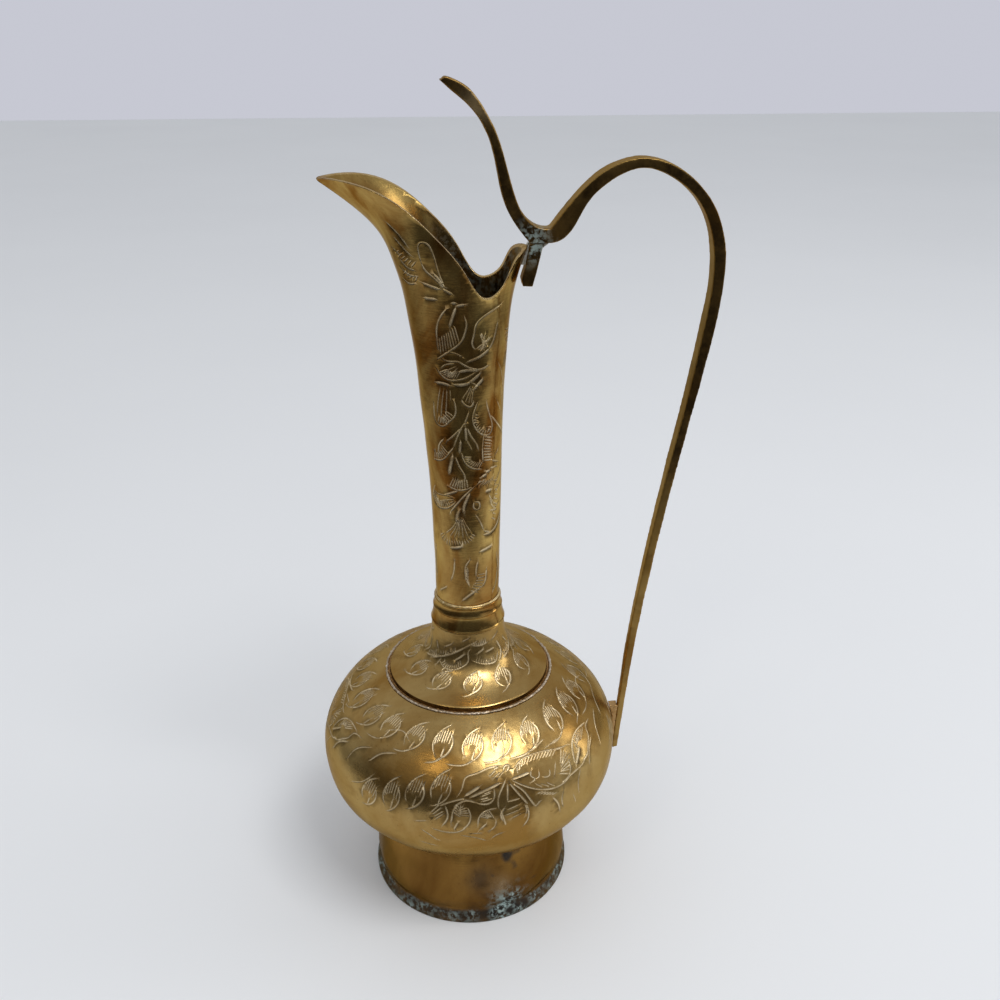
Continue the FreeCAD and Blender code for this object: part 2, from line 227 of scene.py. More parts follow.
def leaf(length, width, hatches, rng, stem=1.0):
    """A hatched leaf with its tip up: two bowed sides, a vein, hatching and a stem."""
    w, h = width, length
    cuts = [
        (((0.36 * w, 0.52 * h), (0.02 * w, 0.40 * h), (-0.38 * w, 0.12 * h),
          (-0.50 * w, -0.12 * h), (-0.42 * w, -0.34 * h)), LINE),
        (((0.36 * w, 0.26 * h), (0.52 * w, 0.02 * h), (0.42 * w, -0.24 * h),
          (0.05 * w, -0.46 * h), (-0.30 * w, -0.56 * h)), LINE),
        (((0.10 * w, -0.20 * h), (-0.04 * w, -0.45 * h)), LINE),
    ]
    if stem:
        cuts.append((((0.05 * w, -0.47 * h), (-0.4 * w, -0.6 * h),
                      (-1.0 * w * stem, -0.63 * h)), FINE))
    for k in range(hatches):
        share = (k + 0.5) / hatches
        x = (-0.42 + 0.86 * share) * w
        top = (0.10 + 0.26 * math.sin(math.pi * (0.2 + 0.62 * share))) * h
        drop = (0.32 + 0.08 * rng.random()) * h
        cuts.append((((x + 0.1 * w, top), (x - 0.06 * w, top - drop)), FINE))
    return cuts


def teeth(points, count, length, lean, cut=FINE):
    """Short cuts side by side along a line, leaning off its normal."""
    line = smooth_line(points, count * 4 + 1)
    heading = np.gradient(line, axis=0)
    cuts = []
    for k in range(2, count * 4, 4):
        angle = math.atan2(heading[k][1], heading[k][0]) + math.radians(lean)
        end = line[k] + length * np.array([math.cos(angle), math.sin(angle)])
        cuts.append(((line[k], end), cut))
    return cuts


def lines(groups, cut):
    return [(points, cut) for points in groups]


def degrees(groups, cut, turn=0.0):
    """Cuts given straight in degrees round the surface and lengths up it."""
    return [(np.radians(np.asarray(points, float) + (turn, 0)) * (1, 180 / math.pi), cut)
            for points in groups]


def comb(surface, line, count, length, lean, turn=0.0):
    """Teeth along a line given in degrees and lengths up."""
    points = np.radians(np.asarray(line, float)) * (1, 180 / math.pi)
    across = surface.scale(points[:, 0].mean(keepdims=True), points[:, 1].mean(keepdims=True))
    flat = (across[0][0], across[1][0])
    return [(np.asarray(tooth) / flat + (math.radians(turn), 0), cut)
            for tooth, cut in teeth(points * flat, count, length, lean)]


SEAM_EDGE = math.pi - 0.015      # cuts end just short of the mesh's seam at the back
SPLIT_SCALE = (30.0, 1.0)        # radians and millimetres, made alike for a split cut
SPLIT_COUNT = 24


def unwrapped(cuts):
    """The cuts brought into one turn round the axis; one over the back seam is split."""
    kept = []
    for points, cut in cuts:
        turns = round(points[:, 0].mean() / (2 * math.pi))
        points = points - (turns * 2 * math.pi, 0)
        if np.abs(points[:, 0]).max() < SEAM_EDGE:
            kept.append((points, cut))
            continue
        line = smooth_line(points * SPLIT_SCALE, SPLIT_COUNT) / SPLIT_SCALE
        for shift in (-2 * math.pi, 0.0, 2 * math.pi):
            part = line + (shift, 0)
            part = part[np.abs(part[:, 0]) < SEAM_EDGE]
            if len(part) > 3:
                kept.append((part, cut))
    return kept


# The flower on the belly, about its hub.
FLOWER = lines((
    ((-18.5, -4.5), (-16, -1), (-14.5, 2), (-10.5, 3.5), (-6, 5), (-2, 5.5)),
    ((-0.5, 3.5), (0.3, 5), (1.5, 5), (0.5, 3)),
    ((-5, -2.5), (-5.5, -5.5), (-7, -7), (-10, -7.2), (-11, -7)),
    ((-25, -8), (-20, -6), (-16, -5)),
    ((-20, -8), (-17.5, -6.5), (-15.5, -5.7), (-13.5, -6), (-12, -6.5)),
    ((-23, -8), (-22.5, -12), (-24.5, -15.5)),
    ((-21.5, -14.5), (-21, -12), (-20, -9), (-18.5, -7.3)),
    ((-15, -8.5), (-14.5, -12.5), (-15.5, -15), (-17.5, -17)),
    ((-19, -14), (-20.5, -17)),
    ((-12, -15.5), (-11.5, -12.5), (-10, -10.5), (-7.5, -9.5), (-5, -9.3)),
    ((-5.5, -14), (-6, -16.5), (-7.5, -18)), ((-9, -15), (-11.5, -17.5)),
    ((-0.5, 0), (-2.5, -3), (-4, -6), (-4.2, -9.5)), ((0, -1.5), (-0.8, -7.5)),
    ((1, -1.5), (3.5, -5.5), (6.5, -10)),
    ((2.6, -2.2), (5.5, -5), (7.5, -8.5), (9.5, -12)), ((9.5, -12), (11.5, -10.5)),
    ((2, -0.5), (5.5, -3), (11, -6), (17.5, -8), (22.5, -8), (26.5, -6.5)),
    ((-3.5, -10.5), (-2.6, -14), (-2, -16.5)), ((-2, -9.5), (-3.6, -12), (-3, -14.5)),
    ((5.5, -10), (6, -12.5), (5.5, -14)), ((6.2, -10.5), (6.7, -14), (6, -17), (4.5, -19)),
    ((3, 3), (6.5, 5.6), (11.5, 6.2), (16.5, 5.6), (20, 4.7), (23.5, 3.8), (26.5, 3.5)),
    ((26, -1), (26.5, -4.5), (25, -6.8), (21.5, -7.5)),
    ((17, -11.5), (19, -14.5), (20, -18.5)),
    ((40.5, 4.5), (36, 5), (32, 4.5), (30, 3), (29, 0), (29, -4)),
    ((44, 4), (40, 2.5), (40.2, 1), (38.5, -2), (36.5, -4.5), (33.5, -5)),
    ((35.5, -4.5), (33, -6), (28.5, -6.5), (25.5, -7)),
    ((60, 6), (56.5, 3.5), (56, -0.5)), ((51, 3.5), (47.5, 0), (47.5, -6)),
    ((41.5, -1), (38, -4.5), (37, -8.5)), ((3, 7), (8, 7), (12.5, 8), (17, 9.5)),
), LINE)
FLOWER += lines((
    ((-4, 4.5), (-2, 5)), ((-3.5, 4), (-5.5, 2.5)), ((-2, 3), (-4.5, 1.5)),
    ((-0.5, 3.2), (-3, 1.2)), ((-10.5, -5.5), (-7.5, -5)), ((-10, -4.5), (-6.5, -3.5)),
    ((-10, -6.3), (-6.5, -5.6)), ((-9, -3.7), (-6, -2.8)), ((-28.5, -11), (-25, -7.5)),
    ((-28, -11.7), (-24.5, -8.7)), ((-27.5, -12.5), (-24, -10)), ((-27, -13.3), (-24, -11)),
    ((-1, -7.5), (3.5, -7.3)), ((-1, -10.5), (3, -9.5)), ((-2, -12.5), (3, -11.5)),
    ((0.5, -14), (4, -13)), ((-7, -22), (-5, -20.5), (-3, -20)),
    ((-17.5, -20), (-13, -21), (-9, -23)), ((-14, -19), (-11.5, -19)),
    ((-32, -19), (-29.5, -20.5), (-26.5, -23)), ((-32.5, -25.5), (-27, -26.5)),
    ((-34.5, -15.5), (-30.5, -14.5)),
    ((-28, -17.5), (-23.5, -18.5), (-18, -17.7), (-16, -16)),
    ((20, 0), (18.5, -4)), ((17, -1), (16.5, -3), (14, -2.7)),
    ((12.5, 0), (12, -2), (11, -2.2)), ((9.5, 1), (9.3, -1), (10.5, -2), (8.5, -3)),
    ((10.5, -4), (12.5, -5.5)), ((12.5, -4.5), (15.5, -6.5)), ((15, -5), (18, -7.3)),
    ((31.5, -7), (29.5, -11), (29.5, -15)), ((22, -10.5), (21, -13), (21.5, -17.5)),
    ((26.5, -14.5), (28, -19)), ((17, 6.5), (23, 7.2)),
    ((47, 12), (52, 14), (57, 12)), ((62, -4), (60, -9), (55, -12)),
), FINE)
FLOWER += lines((
    ((-15.5, -4), (-10, -1)), ((-13.5, -4.5), (-8.5, -2.6), (-2.5, -0.5)),
    ((2, 0), (8.5, 0.6)), ((33, 0), (29.5, -4.5)),
), BROAD)
FLOWER += teeth(((4, 4.2), (6.5, 5.6), (11.5, 6.2), (16.5, 5.6), (22, 4.2)), 13, 2.8, -128)
FLOWER += teeth(((23, 3.9), (25.5, 2), (26.6, -1), (26.5, -4), (25, -6.6)), 8, 5.0, -78)
FLOWER += teeth(((10, -7.2), (13, -8.6), (17, -10.4)), 6, 2.4, 25)
FLOWER += teeth(((-20.8, -10.5), (-19.5, -8.2), (-17.2, -7.2), (-15.3, -9),
                 (-14.8, -12)), 10, 3.2, -100)
FLOWER += teeth(((-11.3, -12), (-9.8, -10.4), (-7.5, -9.6)), 6, 3.2, -75)
FLOWER += teeth(((38.5, 3.8), (36, 4.6), (32.5, 4.4), (30.3, 2.8)), 7, 4.2, 60)

# Cuts on the upper skirt, in degrees and lengths up the skirt.
SKIRT_LINES = (
    ((-60, 16), (-54, 17), (-36, 19.4), (-22, 21.5), (-6, 23.9), (11, 26)),
    ((-43, 16.4), (-34, 15), (-22, 14.9), (-11, 16.4), (-3, 19), (-3, 22), (1, 23)),
    ((-47, 15), (-43, 17.5)), ((-22, 18.4), (-9, 21)), ((-32, 16), (-36, 13.5)),
    ((4, 18.4), (13, 17.3), (25, 16.4), (35, 16.5), (42, 19)), ((23, 21), (37, 21.5)),
    ((49, 16), (60, 16.8), (70, 18)), ((45, 23.4), (49, 19), (40, 16)),
    ((0, 24.5), (14, 24), (28, 24.6)), ((10, 21), (20, 22.4)), ((-40, 22.5), (-28, 24.5)),
    ((-52, 20.5), (-58, 23)), ((-12, 26), (-2, 27.4)), ((36, 25), (48, 26.6)),
)
SKIRT_COMBS = (
    (((5, 18.2), (14, 17.2), (25, 16.4), (35, 16.8)), 9, 1.6, 80),
    (((-42, 16.2), (-33, 15), (-22, 15), (-11, 16.6)), 10, 1.8, 75),
    (((-53, 17.4), (-36, 19.6), (-20, 21.8)), 9, 1.1, 85),
    (((50, 16.4), (60, 17), (68, 18)), 6, 1.6, 80),
    (((2, 24.4), (14, 24), (26, 24.4)), 8, 1.3, 85),
)

# Cuts on the neck, in degrees and heights.
NECK_LINES = (
    ((-31, 255.5), (-29.4, 259.9), (-27, 261.6), (-23.5, 262.3), (-19.5, 262.1),
     (-17.7, 260.3), (-17.4, 255.5), (-17, 252.5), (-14.3, 248)),
    ((-31, 255.5), (-29.5, 253.5), (-26, 252.1), (-21, 250.4), (-15.5, 247.8)),
    ((-57, 255.5), (-49, 253.2), (-41, 252.8)), ((-60, 252.2), (-48, 250.8), (-40, 251)),
    ((-64, 248.9), (-54, 247.8), (-46, 248.4)), ((-50, 262.5), (-44, 259.2), (-39, 257.5)),
    ((-46, 267), (-42, 264), (-39, 260.5)), ((-62, 258.5), (-54, 256.8)),
    ((-16, 241), (-25, 237), (-29, 233.5), (-30, 230.5), (-30, 226.5)),
    ((2, 238.5), (4, 236), (2, 233), (-4, 229.5), (-12, 227.5), (-32, 223.5)),
    ((46, 240.5), (32, 239), (22, 237.5), (15, 235.5), (12, 232), (10, 228.5), (13, 227)),
    ((44, 235), (41, 231.5), (38, 229), (32, 226.5)),
    ((-35, 220), (-30, 218), (-21, 216.5), (-12, 216.5), (1, 217.5), (12, 219)),
    ((-26, 223.5), (-16, 223), (-8, 223), (-2, 222), (9, 220.5), (20, 220), (32, 221)),
    ((-45, 207.5), (-46, 203.5), (-43, 200), (-34, 199.3), (-25, 201), (-16, 203.5),
     (-14, 206.5), (-16, 209.5)),
    ((-6, 209.5), (-3, 208), (6, 207), (10, 209)),
    ((16, 208.5), (10, 204.5), (9, 201.5), (14, 198.5), (24, 196.3), (37, 196),
     (41, 198), (38, 201.5), (32, 205.5), (29, 208.5)),
    ((38, 202.5), (60, 197), (78, 193)),
    ((3, 205), (-3, 201)), ((-6, 200), (-14, 195.5), (-19, 192)), ((0, 201), (-5, 200.5)),
    ((1, 199), (5, 196.5), (14, 193), (17, 191)), ((0, 194.5), (6, 191.5)),
    ((-9, 199), (-18, 196.5), (-29, 194)), ((-34, 194.5), (-42, 192), (-44, 189)),
    ((-19, 192), (-27, 189.5), (-40, 186.5), (-55, 186)),
    ((-17, 188.5), (-10, 184), (-4, 180.5), (-6, 179)),
    ((-30, 177), (-19, 176), (-1, 176.3), (6, 177)),
    ((-8, 190), (-2, 186), (10, 184), (21, 183.5)), ((26, 196), (24, 191.5), (25, 186)),
    ((60, 189), (47, 187)), ((43, 185.5), (58, 184)), ((56, 182.5), (38, 183)),
    ((66, 180), (48, 176)), ((70, 176), (52, 172.5)),
    ((-59, 175.5), (-68, 171), (-60, 168), (-43, 167.6), (-29, 169), (-20, 171)),
    ((10, 177), (-6, 173.5), (-17, 170.5), (-29, 167)),
    ((12, 166), (20, 163), (26, 159.5)), ((27, 159), (37, 158)),
    ((37, 172.5), (45, 169)), ((38, 171.5), (50, 167), (61, 168)), ((39, 166.5), (55, 165.5)),
    ((10, 171), (18, 170.7), (17, 168), (11, 168.3), (10, 171)),
    ((-25, 147), (-26, 144.5), (-28, 142), (-33, 139)),
    ((2, 148), (-5, 145.5), (-6, 142), (-5, 139.5)),
    ((32, 143), (31, 139.5), (25, 136.5), (20, 136)), ((16, 147), (13, 144), (13, 141)),
    ((62, 140), (60, 136), (49, 132)), ((-62, 132.5), (-43, 135.5)),
    ((59, 147), (66, 142), (72, 137)), ((-70, 150), (-76, 144), (-72, 138)),
)
NECK_BROAD = (
    ((-36, 249), (-20, 247.5)), ((-22, 252.5), (-14, 248)), ((-38, 244), (-25, 244)),
    ((-16, 247.5), (-8, 246)), ((-10, 243), (-5, 243)), ((-5, 242), (3, 242.5)),
    ((-6, 241.5), (-11, 237.5), (-14, 235)), ((32, 226.5), (20, 224.5), (3, 223)),
    ((-8, 219.5), (2, 220), (16, 219.5)), ((-15, 215), (-3, 215), (9, 216.5), (19, 218.5)),
    ((-38, 215), (-29, 215), (-20, 214.5)), ((23, 216.5), (10, 213)),
    ((-2, 199.5), (-1, 194.5)), ((-9, 194.5), (-11, 190)), ((-21, 189), (-28, 182)),
    ((-16, 175.5), (-40, 173)), ((3, 174.5), (-4, 171), (-7, 168), (-6, 166.5)),
    ((-14, 168), (-18, 165.5), (-19, 163.5)), ((38, 182), (29, 182)), ((32, 181), (23, 180.5)),
    ((28, 179), (17, 178.5)), ((42, 174.5), (31, 174.5)),
    ((26, 157.5), (42, 157.7), (60, 160), (72, 163)), ((-31, 152.5), (-20, 153), (-12, 153.5)),
    ((20, 151), (42, 152)), ((-12, 131), (-1, 133), (20, 136)), ((72, 223), (66, 219)),
)
# Fine ribs inside the neck's shells and fans.
NECK_RIBS = (
    ((6, 214.5), (-5, 210)), ((7, 214), (-1, 208.9)), ((8.5, 214), (3, 208.2)),
    ((10, 214), (7, 208.3)), ((2, 216), (9, 215.4), (16, 214)),
    ((-16, 165), (-26, 161), (-40, 158)), ((-15, 165), (-22, 160.5), (-32, 157)),
    ((-14, 165), (-18, 160.5), (-24, 156.8)), ((-13, 165), (-15, 160.5), (-17, 157)),
    ((-12, 165), (-10, 160.5), (-9, 157)), ((-11, 165), (-6, 161), (-1, 157.5)),
    ((-10, 165.5), (-3, 162), (4, 159.5)),
    ((-22, 172), (-34, 171.5), (-50, 170)), ((-22, 171.4), (-32, 170), (-42, 168.8)),
    ((-24, 173), (-38, 173), (-56, 172.6)),
    ((-24, 213), (-26, 208), (-28, 203.5)), ((-28, 213), (-32, 208), (-35, 202.5)),
    ((-20, 213), (-20, 209)), ((-33, 213), (-38, 208), (-41, 203.5)),
    ((-12, 222.2), (-24, 221.6), (-30, 220)), ((-10, 221.4), (-20, 220), (-27, 218.6)),
    ((-9, 220.8), (-14, 219.3), (-20, 217.6)), ((-2, 224.5), (-12, 226), (-24, 225.8)),
    ((62, 214), (70, 209), (76, 202)), ((58, 211), (66, 206), (72, 199)),
    ((50, 207), (60, 203.5), (68, 199)), ((48, 221), (58, 217), (66, 211)),
)
# Combs on the neck: a line, the number of cuts, their length and lean.
NECK_COMBS = (
    (((-29, 225.3), (-16, 227.4), (-4, 230)), 8, 5.5, 62),
    (((14, 227.5), (22, 226.3), (31, 228)), 7, 5.5, 72),
    (((-62, 257.5), (-52, 255.2), (-42, 253.6)), 6, 3.0, 60),
    (((-60, 251.2), (-50, 249.6), (-42, 249.2)), 5, 2.2, 60),
    (((-33, 219), (-22, 217.2), (-10, 217)), 9, 3.2, 62),
    (((-43, 200.5), (-30, 200.3), (-17, 204)), 8, 2.6, 85),
    (((12, 204.5), (10, 201.5), (15, 198.6), (24, 196.8), (36, 196.5), (39, 199)), 14, 1.2, 85),
    (((27, 196), (25.5, 191), (27, 186)), 9, 3.2, 75),
    (((-55, 186.5), (-40, 187), (-27, 190)), 8, 2.4, 80),
    (((-6, 189), (-1, 186.3), (10, 184.5), (20, 184)), 9, 2.4, 70),
    (((-66, 174), (-67, 170.5), (-60, 168.4), (-43, 168), (-28, 169.5)), 14, 2.6, 85),
    (((-30, 177.4), (-16, 176.4), (2, 176.8)), 8, 3.4, 85),
    (((12, 178), (30, 177), (44, 177.5)), 6, 2.2, 50),
    (((-46, 158), (-40, 156.2), (-17, 156), (-2, 156.6), (6, 158.8)), 15, 1.3, -85),
    (((-4, 146), (-5, 142), (-4, 139)), 6, 2.6, 20),
    (((14, 133.5), (24, 137), (31, 142)), 7, 3.0, 100),
    (((50, 161), (58, 170), (56, 178)), 9, 2.0, 70),
    (((62, 232), (70, 226), (74, 220)), 8, 3.2, 60),
)


# ---- turning cuts into mesh ------------------------------------------------------------
BURR = 0.03                  # metal raised on each side of a cut
BURR_END = 1.9               # where the burr ends, in half widths of the cut
SAMPLE_STEP = 0.16           # spacing of the points that stand for a cut's line
ROW_EVERY = 3                # every so many of those points gets a row of mesh across it
ROW_OUTSIDE = 0.22           # how far a row reaches past the cut's edge
SEAM_STEP = 1.2
EDGE_MARGIN = 0.28           # inner points keep this far from the edge lines
CLOSEST = 0.13               # of the points in a square of this size, only one is kept
CLEARANCE = 0.5              # the plain grid keeps about this far from the cuts' rows
GRID_RISE = 0.87             # height of the plain grid's triangles, and how far they stray
GRID_JITTER = 0.15
CUT_END = 0.35               # a cut's share of its width and depth at its two ends
SWELL_IN = 0.2               # shares of its length over which it swells and thins out
SWELL_OUT = 0.15
FULL_DEPTH = 0.12            # a cut this deep is wholly bright and holds all its dirt and painted shadow
DIRT_AND_SHADOW_AT = 1.35               # where the dirt and painted shadow beside a cut are thickest, in half widths
DIRT_AND_SHADOW_ABOVE = 0.55            # the share of that darkening kept on a cut's upper side; below it the full share is painted shadow


def sampled(surface, cuts, wobble_rng):
    """Closely spaced points along each cut, with the half width and depth at each."""
    where, half_width, depths, across, chosen = [], [], [], [], []
    for points, (width, depth) in cuts:
        points = np.asarray(points, float)
        ga, gb = surface.scale(points[:, 0], points[:, 1])
        flat = np.stack([points[:, 0] * ga.mean(), points[:, 1] * gb.mean()], axis=1)
        count = max(int(along(flat)[-1] / SAMPLE_STEP), 4)
        line = smooth_line(flat, count) / [ga.mean(), gb.mean()]
        ga, gb = surface.scale(line[:, 0], line[:, 1])
        heading = np.gradient(line, axis=0) * np.stack([ga, gb], axis=1)
        heading /= np.linalg.norm(heading, axis=1)[:, None] + 1e-12
        share = np.linspace(0, 1, count)
        swell = np.minimum(1, CUT_END + share / SWELL_IN)
        swell *= np.minimum(1, CUT_END + (1 - share) / SWELL_OUT)
        swell *= 0.85 + 0.3 * wobble_rng.random()
        where.append(line)
        half_width.append(width / 2 * swell)
        depths.append(depth * swell)
        across.append(np.stack([-heading[:, 1] / ga, heading[:, 0] / gb], axis=1))
        chosen.append(np.arange(count) % ROW_EVERY == 0)
    return {"where": np.concatenate(where), "half": np.concatenate(half_width),
            "depth": np.concatenate(depths), "across": np.concatenate(across),
            "chosen": np.concatenate(chosen)}


def row_points(samples):
    """Mesh points in rows across the cuts: their bottoms, then edges, then just outside."""
    keep = samples["chosen"]
    where = samples["where"][keep]
    across = samples["across"][keep]
    half = samples["half"][keep][:, None]
    rows = [where]
    for extra in (0.0, ROW_OUTSIDE):
        for side in (-1, 1):
            rows.append(where + across * side * (half + extra))
    return np.concatenate(rows)


def carve(surface, samples, a, b):
    """The surface's lift, cut share, and dirt with painted shadow at points, from the nearest
    cut.
    """
    spots = surface.place(samples["where"][:, 0], samples["where"][:, 1])
    tree = KDTree(len(spots))
    for index, spot in enumerate(spots.tolist()):
        tree.insert(spot, index)
    tree.balance()
    points = surface.place(a, b)
    found = [tree.find(point) for point in points.tolist()]
    nearest = np.array([hit[1] for hit in found])
    reach = np.array([hit[2] for hit in found]) / samples["half"][nearest]
    depth = samples["depth"][nearest]
    lift = np.where(reach < 1, -depth * (1 - reach) + BURR * reach, 0.0)
    burr = BURR * (BURR_END - reach) / (BURR_END - 1)
    lift = np.where((reach >= 1) & (reach < BURR_END), burr, lift)
    strength = np.clip(depth / FULL_DEPTH, 0, 1)
    cut = np.clip((1.15 - reach) / 0.35, 0, 1) * strength
    # Painted shadow: the dark flank is full strength on a cut's lower side and weaker above it.
    below = points[:, 2] < spots[nearest][:, 2]
    grime = np.clip(1.25 - np.abs(reach - DIRT_AND_SHADOW_AT) / 0.75, 0, 1) * strength
    return lift, cut, grime * np.where(below, 1.0, DIRT_AND_SHADOW_ABOVE)


def cells(points, size):
    """One number for each point, the same for points in the same square."""
    grid = np.floor(points / size).astype(np.int64)
    return grid[:, 0] * 1000003 + grid[:, 1]


def sheet(surface, low, high, rows, coarse, seed):
    """Triangles over a surface from one edge line to another, all the way round. low and
    high are the edge lines' points, from the seam at the back round to the seam again."""
    ref = np.array([surface.middle_radius, 1.0])
    seam = int((high[0, 1] - low[0, 1]) / SEAM_STEP)
    seam_b = np.linspace(low[0, 1], high[0, 1], max(seam, 2) + 1)[1:-1]
    right = np.stack([np.full_like(seam_b, math.pi), seam_b], axis=1)
    left = right * [-1, 1]
    rng = np.random.default_rng(seed)
    limit = math.pi * surface.middle_radius
    x = np.arange(-limit, limit, coarse)
    y = np.arange(low[:, 1].min(), high[:, 1].max(), coarse * GRID_RISE)
    grid_x, grid_y = np.meshgrid(x, y)
    grid_x[::2] += coarse / 2
    back = np.stack([grid_x.ravel(), grid_y.ravel()], axis=1)
    back += rng.uniform(-GRID_JITTER, GRID_JITTER, back.shape) * coarse
    if len(rows):
        busy = np.floor(rows * ref / CLEARANCE).astype(np.int64)
        near = [busy + (i, j) for i in (-1, 0, 1) for j in (-1, 0, 1)]
        near = np.concatenate(near) * CLEARANCE + CLEARANCE / 2
        back = back[~np.isin(cells(back, CLEARANCE), cells(near, CLEARANCE))]
    inner = np.concatenate([rows * ref, back]) if len(rows) else back
    inner = inner[np.sort(np.unique(cells(inner, CLOSEST), return_index=True)[1])]
    a, b = inner[:, 0] / ref[0], inner[:, 1]
    inside = (b > np.interp(a, *low.T) + EDGE_MARGIN) & (b < np.interp(a, *high.T) - EDGE_MARGIN)
    inside &= np.abs(a) < math.pi - 0.5 / surface.middle_radius
    inner = np.stack([a, b], axis=1)[inside]
    loop = np.concatenate([low, right, high[::-1], left[::-1]])
    points = np.concatenate([loop, inner])
    edges = [(i, (i + 1) % len(loop)) for i in range(len(loop))]
    result = delaunay_2d_cdt([Vector(p) for p in (points * ref).tolist()], edges, [], 0, 1e-6)
    where = np.array([tuple(v) for v in result[0]]) / ref
    faces = np.array(result[2])
    origin = {source[0]: new for new, source in enumerate(result[3]) if source}
    a, b = where[faces].mean(axis=1).T
    faces = faces[(b < np.interp(a, *high.T)) & (b > np.interp(a, *low.T))]
    first_right, first_high = len(low), len(low) + len(right)
    first_left = first_high + len(high)
    swap = np.arange(len(where))
    swap[origin[first_right - 1]] = origin[0]
    swap[origin[first_high]] = origin[first_left - 1]
    for k in range(len(right)):
        swap[origin[first_right + k]] = origin[first_left + len(left) - 1 - k]
    low_ring = [origin[k] for k in range(len(low) - 1)]
    high_ring = [origin[first_left - 1 - k] for k in range(len(high) - 1)]
    return where, swap[faces], np.array(low_ring), np.array(high_ring)


# What a point of a mesh tells its material: cut metal (on the foot also a painted highlight),
# dirt together with painted shade, and green corrosion.
MARKS = ("cut", "grime", "green")


class Builder:
    """Gathers points and faces, in millimetres, and makes the Blender object."""

    def __init__(self):
        self.points = []
        self.marks = {mark: [] for mark in MARKS}
        self.faces = []
        self.sharp = []
        self.count = 0

    def add(self, points, **marks):
        start = self.count
        self.points.append(points)
        for mark in MARKS:
            value = np.asarray(marks.get(mark, 0.0), float)
            self.marks[mark].append(np.broadcast_to(value, (len(points),)))
        self.count += len(points)
        return np.arange(start, self.count)

    def crease(self, ring):
        """Keeps the shading apart on the two sides of a ring of edges."""
        pairs = zip(ring.tolist(), np.roll(ring, -1).tolist())
        self.sharp += [tuple(sorted(pair)) for pair in pairs]

    def bridge(self, lower, upper):
        """Quads between two closed rings; they face outwards when upper is above."""
        lower_next, upper_next = np.roll(lower, -1), np.roll(upper, -1)
        self.faces += np.stack([lower, lower_next, upper_next, upper], axis=1).tolist()

    def extend(self, ring, points, **marks):
        """Adds a ring of points and joins it to the last ring."""
        following = self.add(points, **marks)
        self.bridge(ring, following)
        return following

    def object(self, name, material, slot, nodes):
        mesh = bpy.data.meshes.new(name)
        points = np.concatenate(self.points) * MM
        mesh.from_pydata(points.tolist(), [], self.faces)
        mesh.update()
        write_marks(mesh, {mark: np.concatenate(self.marks[mark]) for mark in MARKS})
        mesh.shade_smooth()
        sharp = set(self.sharp)
        ends = np.zeros(len(mesh.edges) * 2, np.int32)
        mesh.edges.foreach_get("vertices", ends)
        ends = np.sort(ends.reshape(-1, 2), axis=1).tolist()
        layer = mesh.attributes.new("sharp_edge", "BOOLEAN", "EDGE")
        layer.data.foreach_set("value", [tuple(pair) in sharp for pair in ends])
        return settle(bpy.data.objects.new(name, mesh), material, nodes)


def write_marks(mesh, marks):
    for mark, values in marks.items():
        layer = mesh.attributes.new(mark, "FLOAT", "POINT")
        layer.data.foreach_set("value", values.astype(np.float32))


def settle(obj, material, nodes):
    """Puts a finished piece in the scene in place of its CAD nodes."""
    if obj.name not in bpy.context.scene.collection.objects:
        bpy.context.scene.collection.objects.link(obj)
    obj.data.materials.clear()
    obj.data.materials.append(material)
    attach(obj, "root")
    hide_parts(*nodes)
    return obj


def ring_spots(angles, r, z):
    """Points at angles round the axis, at one radius and height."""
    return np.stack([r * np.sin(angles), -r * np.cos(angles), np.full_like(angles, z)], axis=1)


def unevenness(points, size, depth, seed):
    """Shallow hollows of a hand-raised surface, never proud of it."""
    shift = Vector((seed * 7.3, seed * 3.1, seed * 5.7))
    values = [noise.noise(Vector(p) / size + shift) for p in points.tolist()]
    return -depth * np.clip(0.5 + np.array(values), 0, 1)


def edge_line(radius, step, b):
    """An edge line at one length up, with points about a step apart on that radius."""
    count = int(2 * math.pi * radius / step)
    a = np.linspace(-math.pi, math.pi, count + 1)
    return np.stack([a, np.broadcast_to(b, a.shape)], axis=1)


def with_crossings(edge, samples, b):
    """An edge line with points where rows of mesh along the cuts cross it."""
    extra = []
    half = samples["half"][:, None]
    for offset in (-1.0, 0.0, 1.0):
        line = samples["where"] + samples["across"] * half * offset
        above = line[:, 1] > b
        hit = np.nonzero(above[1:] != above[:-1])[0]
        gap = np.abs(line[hit + 1] - line[hit]).max(axis=1)
        hit = hit[gap < 0.5]
        rise = line[hit + 1, 1] - line[hit, 1]
        share = (b - line[hit, 1]) / rise
        extra.append(line[hit, 0] + share * (line[hit + 1, 0] - line[hit, 0]))
    a = np.concatenate([edge[1:-1, 0]] + extra)
    a = np.sort(a[np.abs(a) < math.pi - 0.01])
    a = a[np.concatenate(([True], np.diff(a) > 0.002))]
    a = np.concatenate(([-math.pi], a, [math.pi]))
    return np.stack([a, np.full_like(a, b)], axis=1)


def engraved_skin(piece, surface, samples, low, high, coarse, seed, hollows):
    """The engraved outside of a shell, between two edge lines. Each of the hollows is the
    size, depth and seed of its unevenness. Gives back its lower and upper rings."""
    where, faces, low_ring, high_ring = sheet(surface, low, high, row_points(samples), coarse,
                                              seed)
    a, b = where.T
    lift, cut, grime = carve(surface, samples, a, b)
    spots = surface.place(a, b)
    lift += sum(unevenness(spots, *hollow) for hollow in hollows)
    skin = piece.add(surface.place(a, b, lift), cut=cut, grime=grime)
    piece.faces += skin[faces].tolist()
    return skin[low_ring], skin[high_ring]


